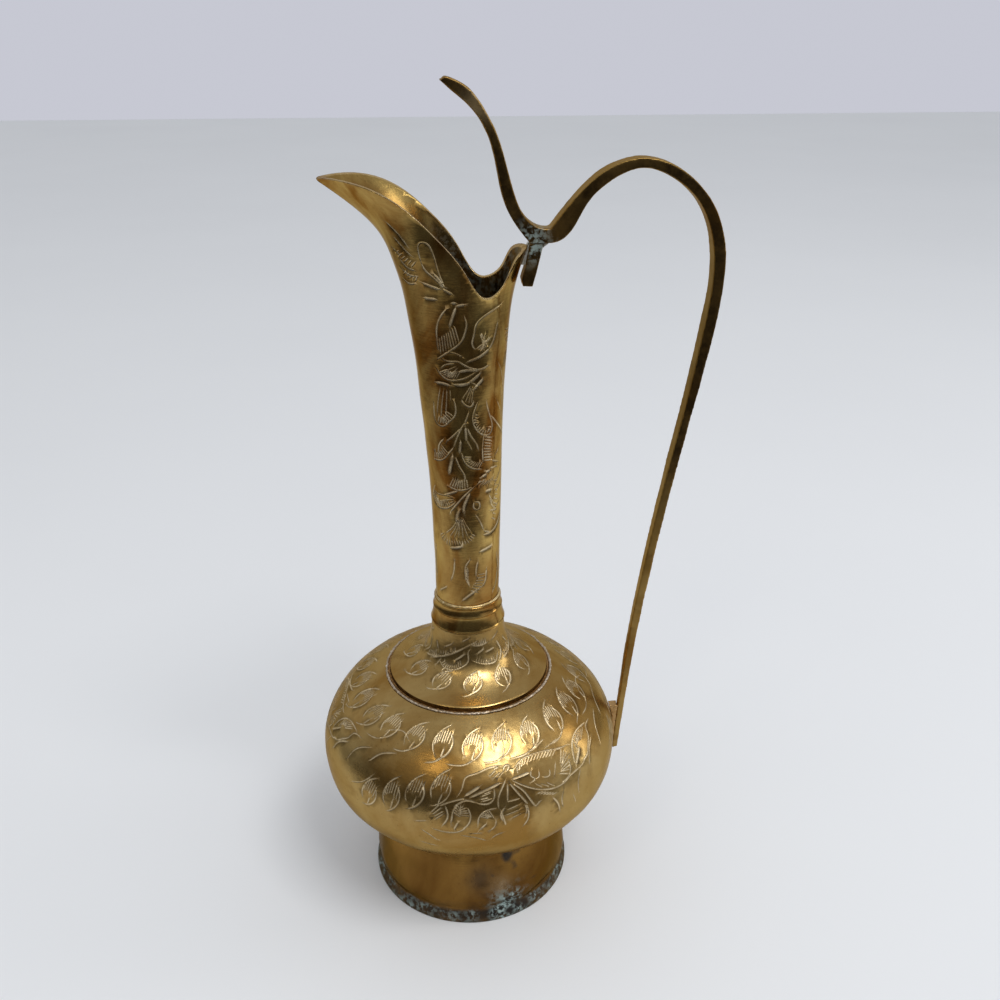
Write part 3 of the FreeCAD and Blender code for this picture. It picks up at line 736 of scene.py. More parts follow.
def plain_skin(piece, surface, low, high, coarse, seed, hollows=(), dirt_and_shade=None):
    """The plain inside of a shell, facing inwards. Gives back its lower and upper rings."""
    where, faces, low_ring, high_ring = sheet(surface, low, high, np.zeros((0, 2)), coarse, seed)
    a, b = where.T
    spots = surface.place(a, b)
    spots = surface.place(a, b, sum(unevenness(spots, *hollow) for hollow in hollows))
    skin = piece.add(spots, **(dirt_and_shade(spots) if dirt_and_shade else {}))
    piece.faces += skin[faces][:, ::-1].tolist()
    return skin[low_ring], skin[high_ring]


# ---- materials -------------------------------------------------------------------------
class Nodes:
    """Short names for building a tree of nodes."""

    def __init__(self, tree):
        self.tree = tree
        self.places = self.new("ShaderNodeTexCoord").outputs
        self.place = self.places["Object"]

    def new(self, kind, *values, **settings):
        node = self.tree.nodes.new(kind)
        for key, value in settings.items():
            setattr(node, key, value)
        for socket, value in zip(node.inputs, values):
            self.link(value, socket)
        return node

    def link(self, source, target):
        if isinstance(source, (int, float, tuple)):
            target.default_value = source
        else:
            self.tree.links.new(source, target)

    def stretched(self, scale):
        mapping = self.new("ShaderNodeMapping")
        mapping.inputs["Scale"].default_value = scale
        self.link(self.place, mapping.inputs["Vector"])
        return mapping.outputs["Vector"]

    def noise(self, scale, detail=4.0, rough=0.55, distort=0.0, vector=None):
        node = self.new("ShaderNodeTexNoise")
        node.inputs["Scale"].default_value = scale
        node.inputs["Detail"].default_value = detail
        node.inputs["Roughness"].default_value = rough
        node.inputs["Distortion"].default_value = distort
        self.link(vector or self.place, node.inputs["Vector"])
        return node.outputs["Fac"]

    def ramp(self, value, stops):
        node = self.new("ShaderNodeValToRGB")
        self.link(value, node.inputs["Fac"])
        ramp = node.color_ramp
        while len(ramp.elements) < len(stops):
            ramp.elements.new(0.5)
        for element, (position, shade) in zip(ramp.elements, stops):
            element.position = position
            element.color = shade if isinstance(shade, tuple) else (shade, shade, shade, 1)
        return node.outputs["Color"]

    def mix(self, share, first, second, blend="MIX"):
        node = self.new("ShaderNodeMix", data_type="RGBA", blend_type=blend)
        self.link(share, node.inputs["Factor"])
        self.link(first, node.inputs[6])
        self.link(second, node.inputs[7])
        return node.outputs[2]

    def math(self, operation, *values, clamp=False):
        return self.new("ShaderNodeMath", *values, operation=operation,
                        use_clamp=clamp).outputs[0]

    def attribute(self, name):
        return self.new("ShaderNodeAttribute", attribute_name=name).outputs["Fac"]

    def bump(self, height, strength, distance, normal=None):
        node = self.new("ShaderNodeBump")
        node.inputs["Strength"].default_value = strength
        node.inputs["Distance"].default_value = distance
        self.link(height, node.inputs["Height"])
        if normal is not None:
            self.link(normal, node.inputs["Normal"])
        return node.outputs["Normal"]


class Surface(Nodes):
    """The nodes of a new material."""

    def __init__(self, name):
        self.material = bpy.data.materials.new(name)
        self.material.use_nodes = True
        super().__init__(self.material.node_tree)
        self.shader = self.tree.nodes["Principled BSDF"]

    def done(self, color, metallic, roughness, normal):
        self.link(color, self.shader.inputs["Base Color"])
        self.link(metallic, self.shader.inputs["Metallic"])
        self.link(roughness, self.shader.inputs["Roughness"])
        self.link(normal, self.shader.inputs["Normal"])
        return self.material


def rgb(r, g, b):
    return (r, g, b, 1.0)


EDGE_TINT = rgb(0.78, 0.68, 0.50)
CUT_COLOR = rgb(0.98, 0.82, 0.54)
# A dark brown that stands for dirt, and for painted shade where the mesh's mark puts shade.
GRIME_AND_SHADE_COLOR = rgb(0.060, 0.036, 0.014)
GREEN_COLOR = rgb(0.34, 0.44, 0.43)
FLUX_COLOR = rgb(0.50, 0.28, 0.10)


def brass(name, clean, worn, stain, roughness, spots=0.35, upright=1.0, dirt_and_shade=GRIME_AND_SHADE_COLOR,
          cloud_size=26):
    """Old brass: clean metal, a warm film in clouds, small stains, a dark colour for dirt and
    for painted shade where the mesh asks for it, wiping marks, and the paler metal and polish
    left in the engraved cuts."""
    m = Surface(name)
    clouds = m.ramp(m.noise(cloud_size, 5, 0.6, 0.6, m.stretched((1, 1, upright))),
                    ((0.38, 0.0), (0.62, 1.0)))
    color = m.mix(clouds, clean, worn)
    blots = m.ramp(m.noise(95, 6, 0.65, 0.3), ((0.56, 0.0), (0.74, 1.0)))
    color = m.mix(m.math("MULTIPLY", blots, spots), color, stain)
    specks = m.ramp(m.noise(900, 2, 0.5), ((0.66, 0.0), (0.78, 1.0)))
    color = m.mix(m.math("MULTIPLY", specks, 0.5), color, stain)
    # The mesh's dark mark is dirt in some places and painted shade in others.
    grime = m.math("MULTIPLY", m.attribute("grime"),
                   m.ramp(m.noise(150, 5, 0.65), ((0.25, 0.55), (0.6, 1.0))), clamp=True)
    color = m.mix(grime, color, dirt_and_shade)
    cut = m.attribute("cut")
    polish = m.ramp(m.noise(240, 4, 0.6), ((0.35, 0.35), (0.6, 1.0)))
    color = m.mix(m.math("MULTIPLY", cut, polish, clamp=True), color, CUT_COLOR)
    crust = m.ramp(m.noise(520, 5, 0.7), ((0.46, 0.0), (0.56, 1.0)))
    green = m.math("MULTIPLY", m.attribute("green"), crust, clamp=True)
    color = m.mix(green, color, GREEN_COLOR)
    wipes = m.noise(1.0, 4, 0.6, 0.2, m.stretched((160, 160, 1400)))
    fine = m.noise(1500, 2, 0.5)
    rough = m.math("ADD", m.math("MULTIPLY", m.noise(40, 4, 0.6), 0.22), roughness - 0.1)
    rough = m.math("ADD", rough, m.math("MULTIPLY", cut, 0.1))
    rough = m.math("ADD", rough, m.math("MULTIPLY", green, 0.4))
    rough = m.math("ADD", rough, m.math("MULTIPLY", grime, 0.14))
    normal = m.bump(wipes, 0.10, 0.00025)
    normal = m.bump(fine, 0.08, 0.0001, normal)
    normal = m.bump(m.noise(120, 3, 0.5), 0.14, 0.0008, normal)
    metallic = m.math("SUBTRACT", 1.0, m.math("MULTIPLY", cut, 0.16))
    metallic = m.math("SUBTRACT", metallic, m.math("MULTIPLY", green, 0.7), clamp=True)
    m.shader.inputs["Specular Tint"].default_value = EDGE_TINT
    return m.done(color, metallic, rough, normal)


def solder_material(name, bright, dull, residue):
    """Old solder: bright and dull patches, a crust of residue, and brown flux."""
    m = Surface(name)
    patches = m.ramp(m.noise(220, 5, 0.6, 0.5), ((0.4, 0.0), (0.62, 1.0)))
    color = m.mix(patches, bright, dull)
    crust = m.ramp(m.noise(700, 4, 0.6), ((0.55, 0.0), (0.7, 1.0)))
    color = m.mix(crust, color, residue)
    color = m.mix(m.attribute("grime"), color, FLUX_COLOR)
    metallic = m.math("SUBTRACT", 0.9, m.math("MULTIPLY", crust, 0.7))
    rough = m.math("ADD", m.math("MULTIPLY", m.noise(500, 3), 0.3), 0.3)
    return m.done(color, metallic, rough, m.bump(m.noise(900, 4, 0.6), 0.4, 0.0003))


ENGRAVED = brass("engraved_brass", rgb(0.60, 0.42, 0.165), rgb(0.40, 0.225, 0.06),
                 rgb(0.22, 0.11, 0.03), roughness=0.28, spots=0.45)
NECK_BRASS = brass("neck_brass", rgb(0.72, 0.50, 0.165), rgb(0.31, 0.13, 0.024),
                   rgb(0.16, 0.075, 0.015), roughness=0.16, spots=0.6, upright=0.45,
                   cloud_size=58)
FOOT_BRASS = brass("foot_brass", rgb(0.34, 0.185, 0.046), rgb(0.17, 0.08, 0.018),
                   rgb(0.08, 0.035, 0.01), roughness=0.2, spots=0.55, upright=0.6,
                   dirt_and_shade=rgb(0.052, 0.047, 0.042))
HANDLE_BRASS = brass("handle_brass", rgb(0.50, 0.32, 0.10), rgb(0.32, 0.17, 0.04),
                     rgb(0.12, 0.055, 0.015), roughness=0.36, spots=0.6)
SOLDER = solder_material("old_solder", rgb(0.74, 0.72, 0.65), rgb(0.42, 0.39, 0.30),
                         rgb(0.74, 0.76, 0.70))
BRAZE = solder_material("golden_solder", rgb(0.82, 0.66, 0.36), rgb(0.52, 0.36, 0.14),
                        rgb(0.70, 0.58, 0.36))


# ---- the belly -------------------------------------------------------------------------
rng = random.Random(11)
belly = Lathe(np.concatenate([low_outline(0), top_outline(0)[1:]]), 50.0)
belly_inner = Lathe(np.concatenate([low_outline(WALL), top_outline(WALL)[1:]]), 50.0)
half_way = len(low_outline(0)) - 1
equator = belly.b[half_way]
belly_end = belly.b[-1]

UPPER_ROW = 24
UPPER_ROW_FIRST = -1.5                   # degrees: the leaf nearest the front
UPPER_ROW_B = 31.0                       # above the widest line
FLOWER_ANGLES = (11.4, 131.4, -108.6)
FLOWER_B = 16.9
LOWER_LEAVES = ((-50, -11), (-41, -8), (-32.5, -4.5), (-23.5, -1.5))    # from the flower
BELLY_HOLLOWS = ((24.0, 0.3, 1), (7.0, 0.07, 2))
EQUATOR_STEP = 0.5               # spacing of the points round the seam and round the ends
END_STEP = 1.2


def half_turn(angle):
    """The same angle, between -180 and 180 degrees."""
    return (angle + 180) % 360 - 180


belly_cuts = []
for k in range(UPPER_ROW):
    angle = half_turn(UPPER_ROW_FIRST + 360 / UPPER_ROW * k) + rng.uniform(-1, 1)
    length = rng.uniform(11.0, 12.6)
    motif = leaf(length, 7.0, 7, rng, rng.uniform(0.5, 1.3))
    belly_cuts += put(belly, angle, equator + UPPER_ROW_B + rng.uniform(-0.6, 0.6), motif,
                      rng.uniform(-6, 6))
for angle in FLOWER_ANGLES:
    belly_cuts += put(belly, angle, equator + FLOWER_B, FLOWER)
    for x, y in LOWER_LEAVES:
        beside = angle + math.degrees(x / BELLY_R * 1.1)
        motif = leaf(rng.uniform(11.5, 13), 6.8, 6, rng, 0)
        belly_cuts += put(belly, beside, equator + FLOWER_B + y, motif, rng.uniform(-4, 8))
belly_samples = sampled(belly, unwrapped(belly_cuts), rng)


def belly_piece(name, low_b, high_b, node):
    """One of the two bowls, between two lengths up the belly's outline."""
    piece = Builder()
    edges = []
    for b in (low_b, high_b):
        radius = np.interp(b, belly.b, belly.r)
        if b == equator:
            edges.append(with_crossings(edge_line(radius, EQUATOR_STEP, b), belly_samples, b))
        else:
            edges.append(edge_line(radius, END_STEP, b))
    low_out, high_out = engraved_skin(piece, belly, belly_samples, *edges, coarse=1.5,
                                      seed=5, hollows=BELLY_HOLLOWS)
    inner_b = np.interp((low_b, high_b), (0, equator, belly_end),
                        (0, belly_inner.b[half_way], belly_inner.b[-1]))
    edges = [np.stack([edge[:, 0], np.full(len(edge), b)], axis=1)
             for edge, b in zip(edges, inner_b)]
    low_in, high_in = plain_skin(piece, belly_inner, *edges, coarse=5.0, seed=6)
    piece.bridge(high_out, high_in)
    piece.bridge(low_in, low_out)
    for ring in (high_out, low_out, high_in, low_in):
        piece.crease(ring)
    return piece.object(name, ENGRAVED, "engraved_brass", (node,))


belly_piece("lower_bowl_shell", BOWL_BOTTOM_B, equator, "lower_bowl")
belly_piece("upper_bowl_shell", equator, belly_end, "upper_bowl")


# ---- the shoulder cap ------------------------------------------------------------------
skirt = Lathe(smooth_line(((CAP_EDGE_R, 97.0), (26.0, 98.4), (21.2, 101.0), (17.4, 104.3),
                           (15.1, 109.0), (14.0, 113.6), (13.7, 117.9)), 200), 20.0)
hollow_side = Lathe(smooth_line(((CAP_EDGE_R - WALL, MOUTH_Z), (24.6, 96.9), (19.4, 99.8),
                                 (15.4, 103.5), (12.9, 108.5), (11.1, 113.5),
                                 (NECK_BORE_R, 119.0)), 120), 20.0)
SKIRT_LEAVES = 11
SKIRT_LEAF_B = 10.3
skirt_cuts = []
for k in range(SKIRT_LEAVES):
    angle = half_turn(2 + 360 / SKIRT_LEAVES * k) + rng.uniform(-2, 2)
    motif = leaf(8.6, 6.6, 6, rng, 0.6)
    skirt_cuts += put(skirt, angle, SKIRT_LEAF_B, motif, rng.uniform(-8, 8))
for turn in (0.0, 120.0, 240.0):
    skirt_cuts += degrees(SKIRT_LINES, LINE, turn)
    for line, count, length, lean in SKIRT_COMBS:
        skirt_cuts += comb(skirt, line, count, length, lean, turn)
skirt_samples = sampled(skirt, unwrapped(skirt_cuts), rng)

SPIGOT = ((SPIGOT_R, 117.9), (SPIGOT_R, NECK_Z), (NECK_BORE_R, NECK_Z))
CAP_EDGE = ((CAP_EDGE_R - 0.05, MOUTH_Z), (CAP_EDGE_R, 96.5), (CAP_EDGE_R + 0.02, 96.85))


def shoulder_cap():
    """The hollow-sided shoulder, and the spigot that carries the collar and the neck."""
    cap = Builder()
    low, high, high_inner = (edge_line(28.0, 0.8, b) for b in (0.0, skirt.b[-1],
                                                               hollow_side.b[-1]))
    low_out, high_out = engraved_skin(cap, skirt, skirt_samples, low, high, coarse=1.1,
                                      seed=7, hollows=((14.0, 0.12, 3),))
    low_in, high_in = plain_skin(cap, hollow_side, low, high_inner, coarse=3.0, seed=8)
    angles = low[:-1, 0]
    ring = high_out
    for r, z in SPIGOT:
        ring = cap.extend(ring, ring_spots(angles, r, z))
    cap.bridge(ring, high_in)
    ring = low_in
    for r, z in CAP_EDGE:
        # The cap's edge is painted dark all round: a dark joint, with painted shade in the gap
        # to the belly.
        ring = cap.extend(ring, ring_spots(angles, r, z), grime=1.0)
        cap.crease(ring)
    cap.bridge(ring, low_out)
    return cap.object("shoulder_cap_shell", ENGRAVED, "engraved_brass", ("shoulder_cap",))


shoulder_cap()


# ---- plain turned pieces ---------------------------------------------------------------
def turned(name, outline, material, slot, nodes, across, shape=None, marks=None):
    """A closed ring of revolution from a closed outline of (r, z) points."""
    piece = Builder()
    angles = np.linspace(-math.pi, math.pi, across, endpoint=False)
    rings = []
    for r, z in outline:
        spots = ring_spots(angles, r, z)
        if shape:
            spots = shape(spots, angles, r, z)
        rings.append(piece.add(spots, **(marks(angles, r, z) if marks else {})))
    for lower, upper in zip(rings, rings[1:] + rings[:1]):
        piece.bridge(lower, upper)
    return piece.object(name, material, slot, nodes)


FOOT_TOP_Z = 34.2
LIP_TOP_Z = 6.0
foot_step = smooth_line(((39.7, 1.8), (39.0, 3.4), (38.2, 5.4)), 8)
foot_body = smooth_line(((38.2, 5.4), (38.7, 7.5), (38.8, 13.0), (38.1, 19.0), (36.9, 25.0),
                         (35.5, 30.0), (34.4, FOOT_TOP_Z)), 60)
foot_inside = smooth_line(((32.9, FOOT_TOP_Z), (33.8, 30.0), (35.2, 25.0), (36.3, 19.0),
                           (37.0, 13.0), (36.6, 8.0), (37.0, 3.4), (38.0, 0.25)), 30)
foot_outline = [(38.2, 0.0), (39.2, 0.0), (39.55, 0.12), (39.68, 0.4), (39.7, 1.4)]
foot_outline += foot_step.tolist() + foot_body[1:].tolist() + foot_inside.tolist()

# The middle of the foot's wall: points closer to the axis are on its inside.
FOOT_MIDDLE_Z = (0.0, LIP_TOP_Z, 13.0, 19.0, 25.0, 30.0, FOOT_TOP_Z)
FOOT_MIDDLE_R = (38.1, 37.4, 37.9, 37.2, 36.05, 34.65, 33.6)

# Places on the foot: angle, height and size.
DENTS = (((4.0, 20.0, 6.5), 1.1), ((24.0, 13.0, 4.0), 0.7), ((-35.0, 18.0, 8.0), 0.7),
         ((95.0, 14.0, 8.0), 0.5), ((170.0, 12.0, 7.0), 0.4), ((-110.0, 15.0, 8.0), 0.5))
NICK = (20.0, 29.5, 2.6)         # a dark chip under the belly
CORROSION = (19.0, 6.5, 8.0)     # the largest green patch
DENT_SHADOW = (2.0, 20.0, 8.0)        # painted shadow in the largest dent on the foot's front
PAINTED_GLINT = (15.0, 16.0, 5.0)        # a painted highlight beside it


def apart(angles, r, z, place, squash=1.0):
    """Distance on the foot from a place, in sizes of that place."""
    away = (np.degrees(angles) - place[0] + 180) % 360 - 180
    return np.hypot(np.radians(away) * r, (z - place[1]) * squash) / place[2]


def nearness(away, fall=1.6):
    """1 at no distance, falling smoothly to 0 with it."""
    return np.exp(-away * away * fall)


def foot_shape(spots, angles, r, z):
    """Hollows and dents above the lip, which stays true."""
    if z <= LIP_TOP_Z:
        return spots
    lift = unevenness(spots, 10.0, 0.6, 4)
    for place, depth in DENTS:
        lift -= depth * nearness(apart(angles, r, z, place), 2)
    return spots + ring_spots(angles, 1.0, 0.0) * lift[:, None]


def foot_marks(angles, r, z):
    """Dirt and corrosion on the lip and in patches, a dark chip and a dark inside; painted
    shade in the step above the lip, painted shadow under the belly over the dark joint,
    painted shadow in the largest dent, and a painted highlight beside it.
    """
    spots = [Vector((math.sin(a) * 9, math.cos(a) * 9, z / 3)) for a in angles]
    patch = np.array([noise.noise(spot) for spot in spots])
    stain = nearness(apart(angles, r, z, CORROSION))
    # Painted shadow in the largest dent.
    dent_shadow = 0.6 * nearness(apart(angles, r, z, DENT_SHADOW))
    # A painted highlight, laid on as pale cut metal.
    painted_glint = 0.2 * nearness(apart(angles, r, z, PAINTED_GLINT))
    lip = max(0.0, min(1.0, (LIP_TOP_Z - z) / 1.5))
    # Painted shade in the step just above the lip.
    shade = 0.4 * max(0.0, 1 - abs(z - LIP_TOP_Z - 1) / 3.5)
    # Painted shadow under the belly's overhang, over the dark joint at the foot's top.
    joint_and_shadow = max(0.0, min(1.0, (z - FOOT_TOP_Z + 1) / 0.8)) * 0.8
    inside = 0.9 * (r < np.interp(z, FOOT_MIDDLE_Z, FOOT_MIDDLE_R))
    chip = np.clip(1.6 - apart(angles, r, z, NICK, 0.7) * (1.0 + patch), 0, 1)
    grime = lip * 0.9 + shade * (0.8 + patch) + stain * 0.9 + joint_and_shadow * (0.6 + patch)
    grime = np.clip(grime + inside + chip + dent_shadow, 0, 1)
    green = np.clip((lip * 0.42 + stain * 1.1) * (0.75 + 1.6 * patch), 0, 1)
    return {"cut": painted_glint, "grime": grime, "green": green}


turned("foot_ring", foot_outline, FOOT_BRASS, "foot_brass", ("foot",), across=420,
       shape=foot_shape, marks=foot_marks)

# The collar: bands of a radius at a height, with a hollow cone from each to the next.
BANDS = ((13.9, 117.9), (13.0, 123.65), (12.5, 127.1))
CONE_HOLLOW = 0.16
collar_outline = []
for (radius, low_z), (next_radius, next_z) in zip(BANDS, BANDS[1:]):
    collar_outline += [(radius - 0.1, low_z), (radius, low_z + 0.15), (radius, low_z + 0.45),
                       (radius - 0.06, low_z + 0.6), (radius - 0.18, low_z + 0.75)]
    for share in np.linspace(0.04, 0.96, 12):
        bow = CONE_HOLLOW * 4 * share * (1 - share)
        collar_outline.append((radius - 0.2 + (next_radius - radius + 0.05) * share - bow,
                               low_z + 0.9 + (next_z - low_z - 0.9) * share))
collar_outline += [(12.4, 127.1), (12.5, 127.25), (12.48, 127.7), (12.3, 127.95), (11.6, 128.0),
                   (SPIGOT_R + 0.02, 127.9), (SPIGOT_R + 0.02, 118.0)]
turned("collar_ring", collar_outline, NECK_BRASS, "engraved_brass", ("neck_collar",),
       across=300)

bead_outline = [(CAP_EDGE_R + 0.03, 95.22), (31.0, 95.21), (31.9, 95.21), (32.1, 95.3),
                (32.08, 95.55), (31.95, 95.75), (31.7, 95.88), (31.4, 95.8), (31.15, 95.6),
                (31.0, 95.42), (30.6, 95.38), (CAP_EDGE_R + 0.03, 95.4)]


BEAD_DIRT_R = 31.3               # the bead is dirtier inside this radius


def lumpy(size, depth, seed):
    """The shape of a bead of solder, lumpy outwards and upwards."""
    def shape(spots, angles, r, z):
        shift = Vector((seed, seed, seed))
        values = np.array([noise.noise(Vector(p) / size + shift) for p in spots.tolist()])
        return spots + ring_spots(angles, 1.0, 0.8) * (values * depth)[:, None]
    return shape


turned("shoulder_bead", bead_outline, SOLDER, "solder", ("shoulder_solder",), across=900,
       shape=lumpy(0.9, 0.3, 5),
       marks=lambda angles, r, z: {"grime": 1.0 if r < BEAD_DIRT_R else 0.4})
neck_bead_outline = [(11.6, 128.02), (12.3, 128.02), (12.2, 128.3), (11.9, 128.6),
                     (11.65, 128.7)]
turned("neck_bead", neck_bead_outline, BRAZE, "solder", ("neck_solder",), across=300,
       shape=lumpy(0.8, 0.08, 6))


# ---- the neck and spout ----------------------------------------------------------------
neck = Neck(0.0)
neck_inner = Neck(WALL)
rim_line = smooth_line(RIM_LINE, 800)
RIM_SEARCH = (236.0, 280.0)      # the heights between which the rim lies
RIM_ROUND = 0.55                 # height of the rounded edge
TIP_BLUNT = 1.1                  # how much of the spout's point is filed off
TIP_WIDTH = 0.17                 # radians either side of the point
# The rim's section, as shares of the wall across and of the rounded edge up.
RIM_SECTION = ((0.02, 0.7), (0.09, 0.95), (0.36, 1.0), (0.64, 1.0), (0.9, 0.95), (0.98, 0.7))


def rim_height(surface, angles):
    """Height at which the rim line cuts the neck at each angle."""
    heights = np.linspace(*RIM_SEARCH, 900)
    tops = []
    for a in angles:
        x = surface.point(np.full_like(heights, a), heights)[:, 0]
        over = heights - np.interp(x, rim_line[:, 0], rim_line[:, 1])
        hit = np.nonzero(over > 0)[0]
        if not len(hit):
            tops.append(heights[-1])
        elif hit[0] == 0:
            tops.append(heights[0])
        else:
            k = hit[0]
            share = -over[k - 1] / (over[k] - over[k - 1])
            tops.append(heights[k - 1] + share * (heights[k] - heights[k - 1]))
    return np.array(tops)


def mirrored(groups):
    """The same cuts on the far side of the spout."""
    return [[(180.0 - angle, height) for angle, height in points] for points in groups]


neck_cuts = []
for facing in (list, mirrored):
    neck_cuts += degrees(facing(NECK_LINES), NECK_LINE) + degrees(facing(NECK_BROAD), BROAD)
    neck_cuts += degrees(facing(NECK_RIBS), NECK_RIB)
for line, count, length, lean in NECK_COMBS:
    neck_cuts += comb(neck, line, count, length, lean)
    neck_cuts += comb(neck, mirrored((line[::-1],))[0], count, length, 180 - lean)
neck_samples = sampled(neck, unwrapped(neck_cuts), rng)


def neck_dirt(spots):
    """The inside grows dark downwards, with some green in its depth."""
    z = spots[:, 2]
    return {"grime": np.clip((276.0 - z) / 26.0, 0.3, 1.0),
            "green": np.clip((262.0 - z) / 40.0, 0.0, 0.26)}


def neck_tube():
    """The tube from the collar up to the spout, with a rounded rim that has file marks."""
    tube = Builder()
    angles = np.linspace(-math.pi, math.pi, 421)
    outer_top = rim_height(neck, angles)
    outer_top -= TIP_BLUNT * np.exp(-((angles + math.pi / 2) / TIP_WIDTH) ** 2)
    inner_top = rim_height(neck_inner, angles)
    low, high, high_inner = (np.stack([angles, np.broadcast_to(b, angles.shape)], axis=1)
                             for b in (NECK_Z, outer_top - RIM_ROUND, inner_top - RIM_ROUND))
    low_out, high_out = engraved_skin(tube, neck, neck_samples, low, high, coarse=1.2,
                                      seed=9, hollows=((15.0, 0.25, 6),))
    low_in, high_in = plain_skin(tube, neck_inner, low, high_inner, coarse=1.6, seed=10,
                                 hollows=((9.0, 0.2, 8),), dirt_and_shade=neck_dirt)
    tube.bridge(low_in, low_out)
    placed = np.concatenate(tube.points)
    start, end = placed[high_out], placed[high_in]
    angles = angles[:-1]
    top_out = neck.point(angles, outer_top[:-1])
    top_in = neck_inner.point(angles, inner_top[:-1])
    file_marks = np.array([noise.noise(Vector((a * 60, 0, 3))) for a in angles])[:, None]
    file_depth = 0.1 + 0.22 * np.clip(np.sin(angles), 0, 1)[:, None]
    ring = high_out
    for across, rise in RIM_SECTION:
        base = start + (end - start) * across
        crest = top_out + (top_in - top_out) * across
        spots = base + (crest - base) * (rise - file_depth * (0.5 + file_marks))
        ring = tube.extend(ring, spots, cut=0.4 + 0.5 * file_marks[:, 0], grime=0.1)
    tube.bridge(ring, high_in)
    return tube.object("neck_tube", NECK_BRASS, "engraved_brass", ("neck_spout",))


neck_tube()


# ---- the handle, the lug and the solder blobs ------------------------------------------
def softened(name, node, voxel, rounds, material, roughen):
    """A CAD node's own shape with its edges rounded over and its faces made uneven."""
    obj = bpy.data.objects.new(name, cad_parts[node].data.copy())
    bpy.context.scene.collection.objects.link(obj)
    remesh = obj.modifiers.new("remesh", "REMESH")
    remesh.mode = "VOXEL"
    remesh.voxel_size = voxel * MM
    ease = obj.modifiers.new("ease", "SMOOTH")
    ease.factor = 0.5
    ease.iterations = rounds
    bpy.context.view_layer.update()
    shaped = obj.evaluated_get(bpy.context.evaluated_depsgraph_get())
    mesh = bpy.data.meshes.new_from_object(shaped)
    obj.modifiers.clear()
    obj.data = mesh
    mesh.name = name
    spots = np.zeros(len(mesh.vertices) * 3)
    mesh.vertices.foreach_get("co", spots)
    spots = spots.reshape(-1, 3) / MM
    normals = np.array([tuple(v.normal) for v in mesh.vertices])
    lift, marks = roughen(spots, normals)
    spots = (spots + normals * lift[:, None]) * MM
    mesh.vertices.foreach_set("co", spots.ravel())
    write_marks(mesh, marks)
    mesh.shade_smooth()
    mesh.update()
    return settle(obj, material, (node,))


V_JOINT = (22.0, 0.0, 258.0)     # where the lug, the lip and the handle meet
V_GREEN = 9.0                    # how far the green spreads from it
LEG_TOP_Z = 185.0                # the strap is dark above this, and golden well below it
LEG_FADE = 35.0
TIP_Z = 290.0                    # the thumb scroll's end spreads above this height
TIP_END_Z = 307.0
TIP_SPREAD = 0.45
TIP_MAX_X = 15.0
# Rubbed bright places: where, and how large. The first is rubbed down to paler metal.
RUBBED = (((4.0, 0.0, 299.0), 4.5), ((52.0, 0.0, 288.0), 6.0), ((30.0, 0.0, 262.0), 4.0))
BELLY_SOLDER_MAX_Z = 150.0


def forged(spots, normals):
    """Hammered and filed faces: dark on the sides and rubbed bright along the edges."""
    x, z = spots[:, 0], spots[:, 2]
    sideways = np.abs(normals[:, 1])
    lift = unevenness(spots, 11.0, 0.2, 12) + unevenness(spots, 3.0, 0.06, 13)
    near_tip = np.clip((z - TIP_Z) / 9.0, 0, 1) * np.clip((TIP_END_Z - z) / 2.5, 0, 1)
    lift += TIP_SPREAD * near_tip * (x < TIP_MAX_X) * (1 - sideways)
    high = np.clip((z - LEG_TOP_Z) / LEG_FADE + 1, 0, 1)
    side = np.clip((sideways - 0.72) / 0.2, 0, 1)
    grime = high * (0.12 + 0.88 * side) + (1 - high) * 0.12 * side
    edge = np.clip(1 - np.abs(sideways - 0.6) / 0.22, 0, 1)
    grime *= 1 - 0.7 * edge
    rubbed = [nearness(np.linalg.norm(spots - centre, axis=1) / size, 1)
              for centre, size in RUBBED]
    for share in rubbed:
        grime *= 1 - 0.85 * share
    green = np.clip(1.1 - np.linalg.norm(spots - V_JOINT, axis=1) / V_GREEN, 0, 1)
    return lift, {"cut": 0.55 * rubbed[0], "grime": grime, "green": green}


def blob(spots, normals):
    """Lumps of solder; the one on the belly is browned."""
    values = np.array([noise.noise(Vector(p) / 1.1) for p in spots.tolist()])
    nothing = np.zeros(len(spots))
    dull = 0.8 * (spots[:, 2] < BELLY_SOLDER_MAX_Z)
    return values * 0.16, {"cut": nothing, "grime": dull, "green": nothing}


# The piece, the CAD node, the size of its cells in millimetres, and rounds of easing.
softened("strap", "handle", 0.45, 4, HANDLE_BRASS, forged)
softened("lug_bar", "handle_lug", 0.3, 4, HANDLE_BRASS, forged)
softened("lip_solder_blob", "lip_solder", 0.2, 3, SOLDER, blob)
softened("lug_solder_blob", "lug_solder", 0.15, 3, SOLDER, blob)
softened("leg_solder_blob", "handle_foot_solder", 0.2, 3, BRAZE, blob)
for node in ("foot_solder", "belly_seam_solder"):
    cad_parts[node].data.materials.clear()
    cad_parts[node].data.materials.append(SOLDER)


# ---- floor, light and camera -----------------------------------------------------------
PAPER_REACH = (0.13, 0.32)       # metres: where the paper's reflection fades into the room
PAPER_LEFT = 0.55                # how fast it fades to the left and to the right of the pot
PAPER_RIGHT = 0.40


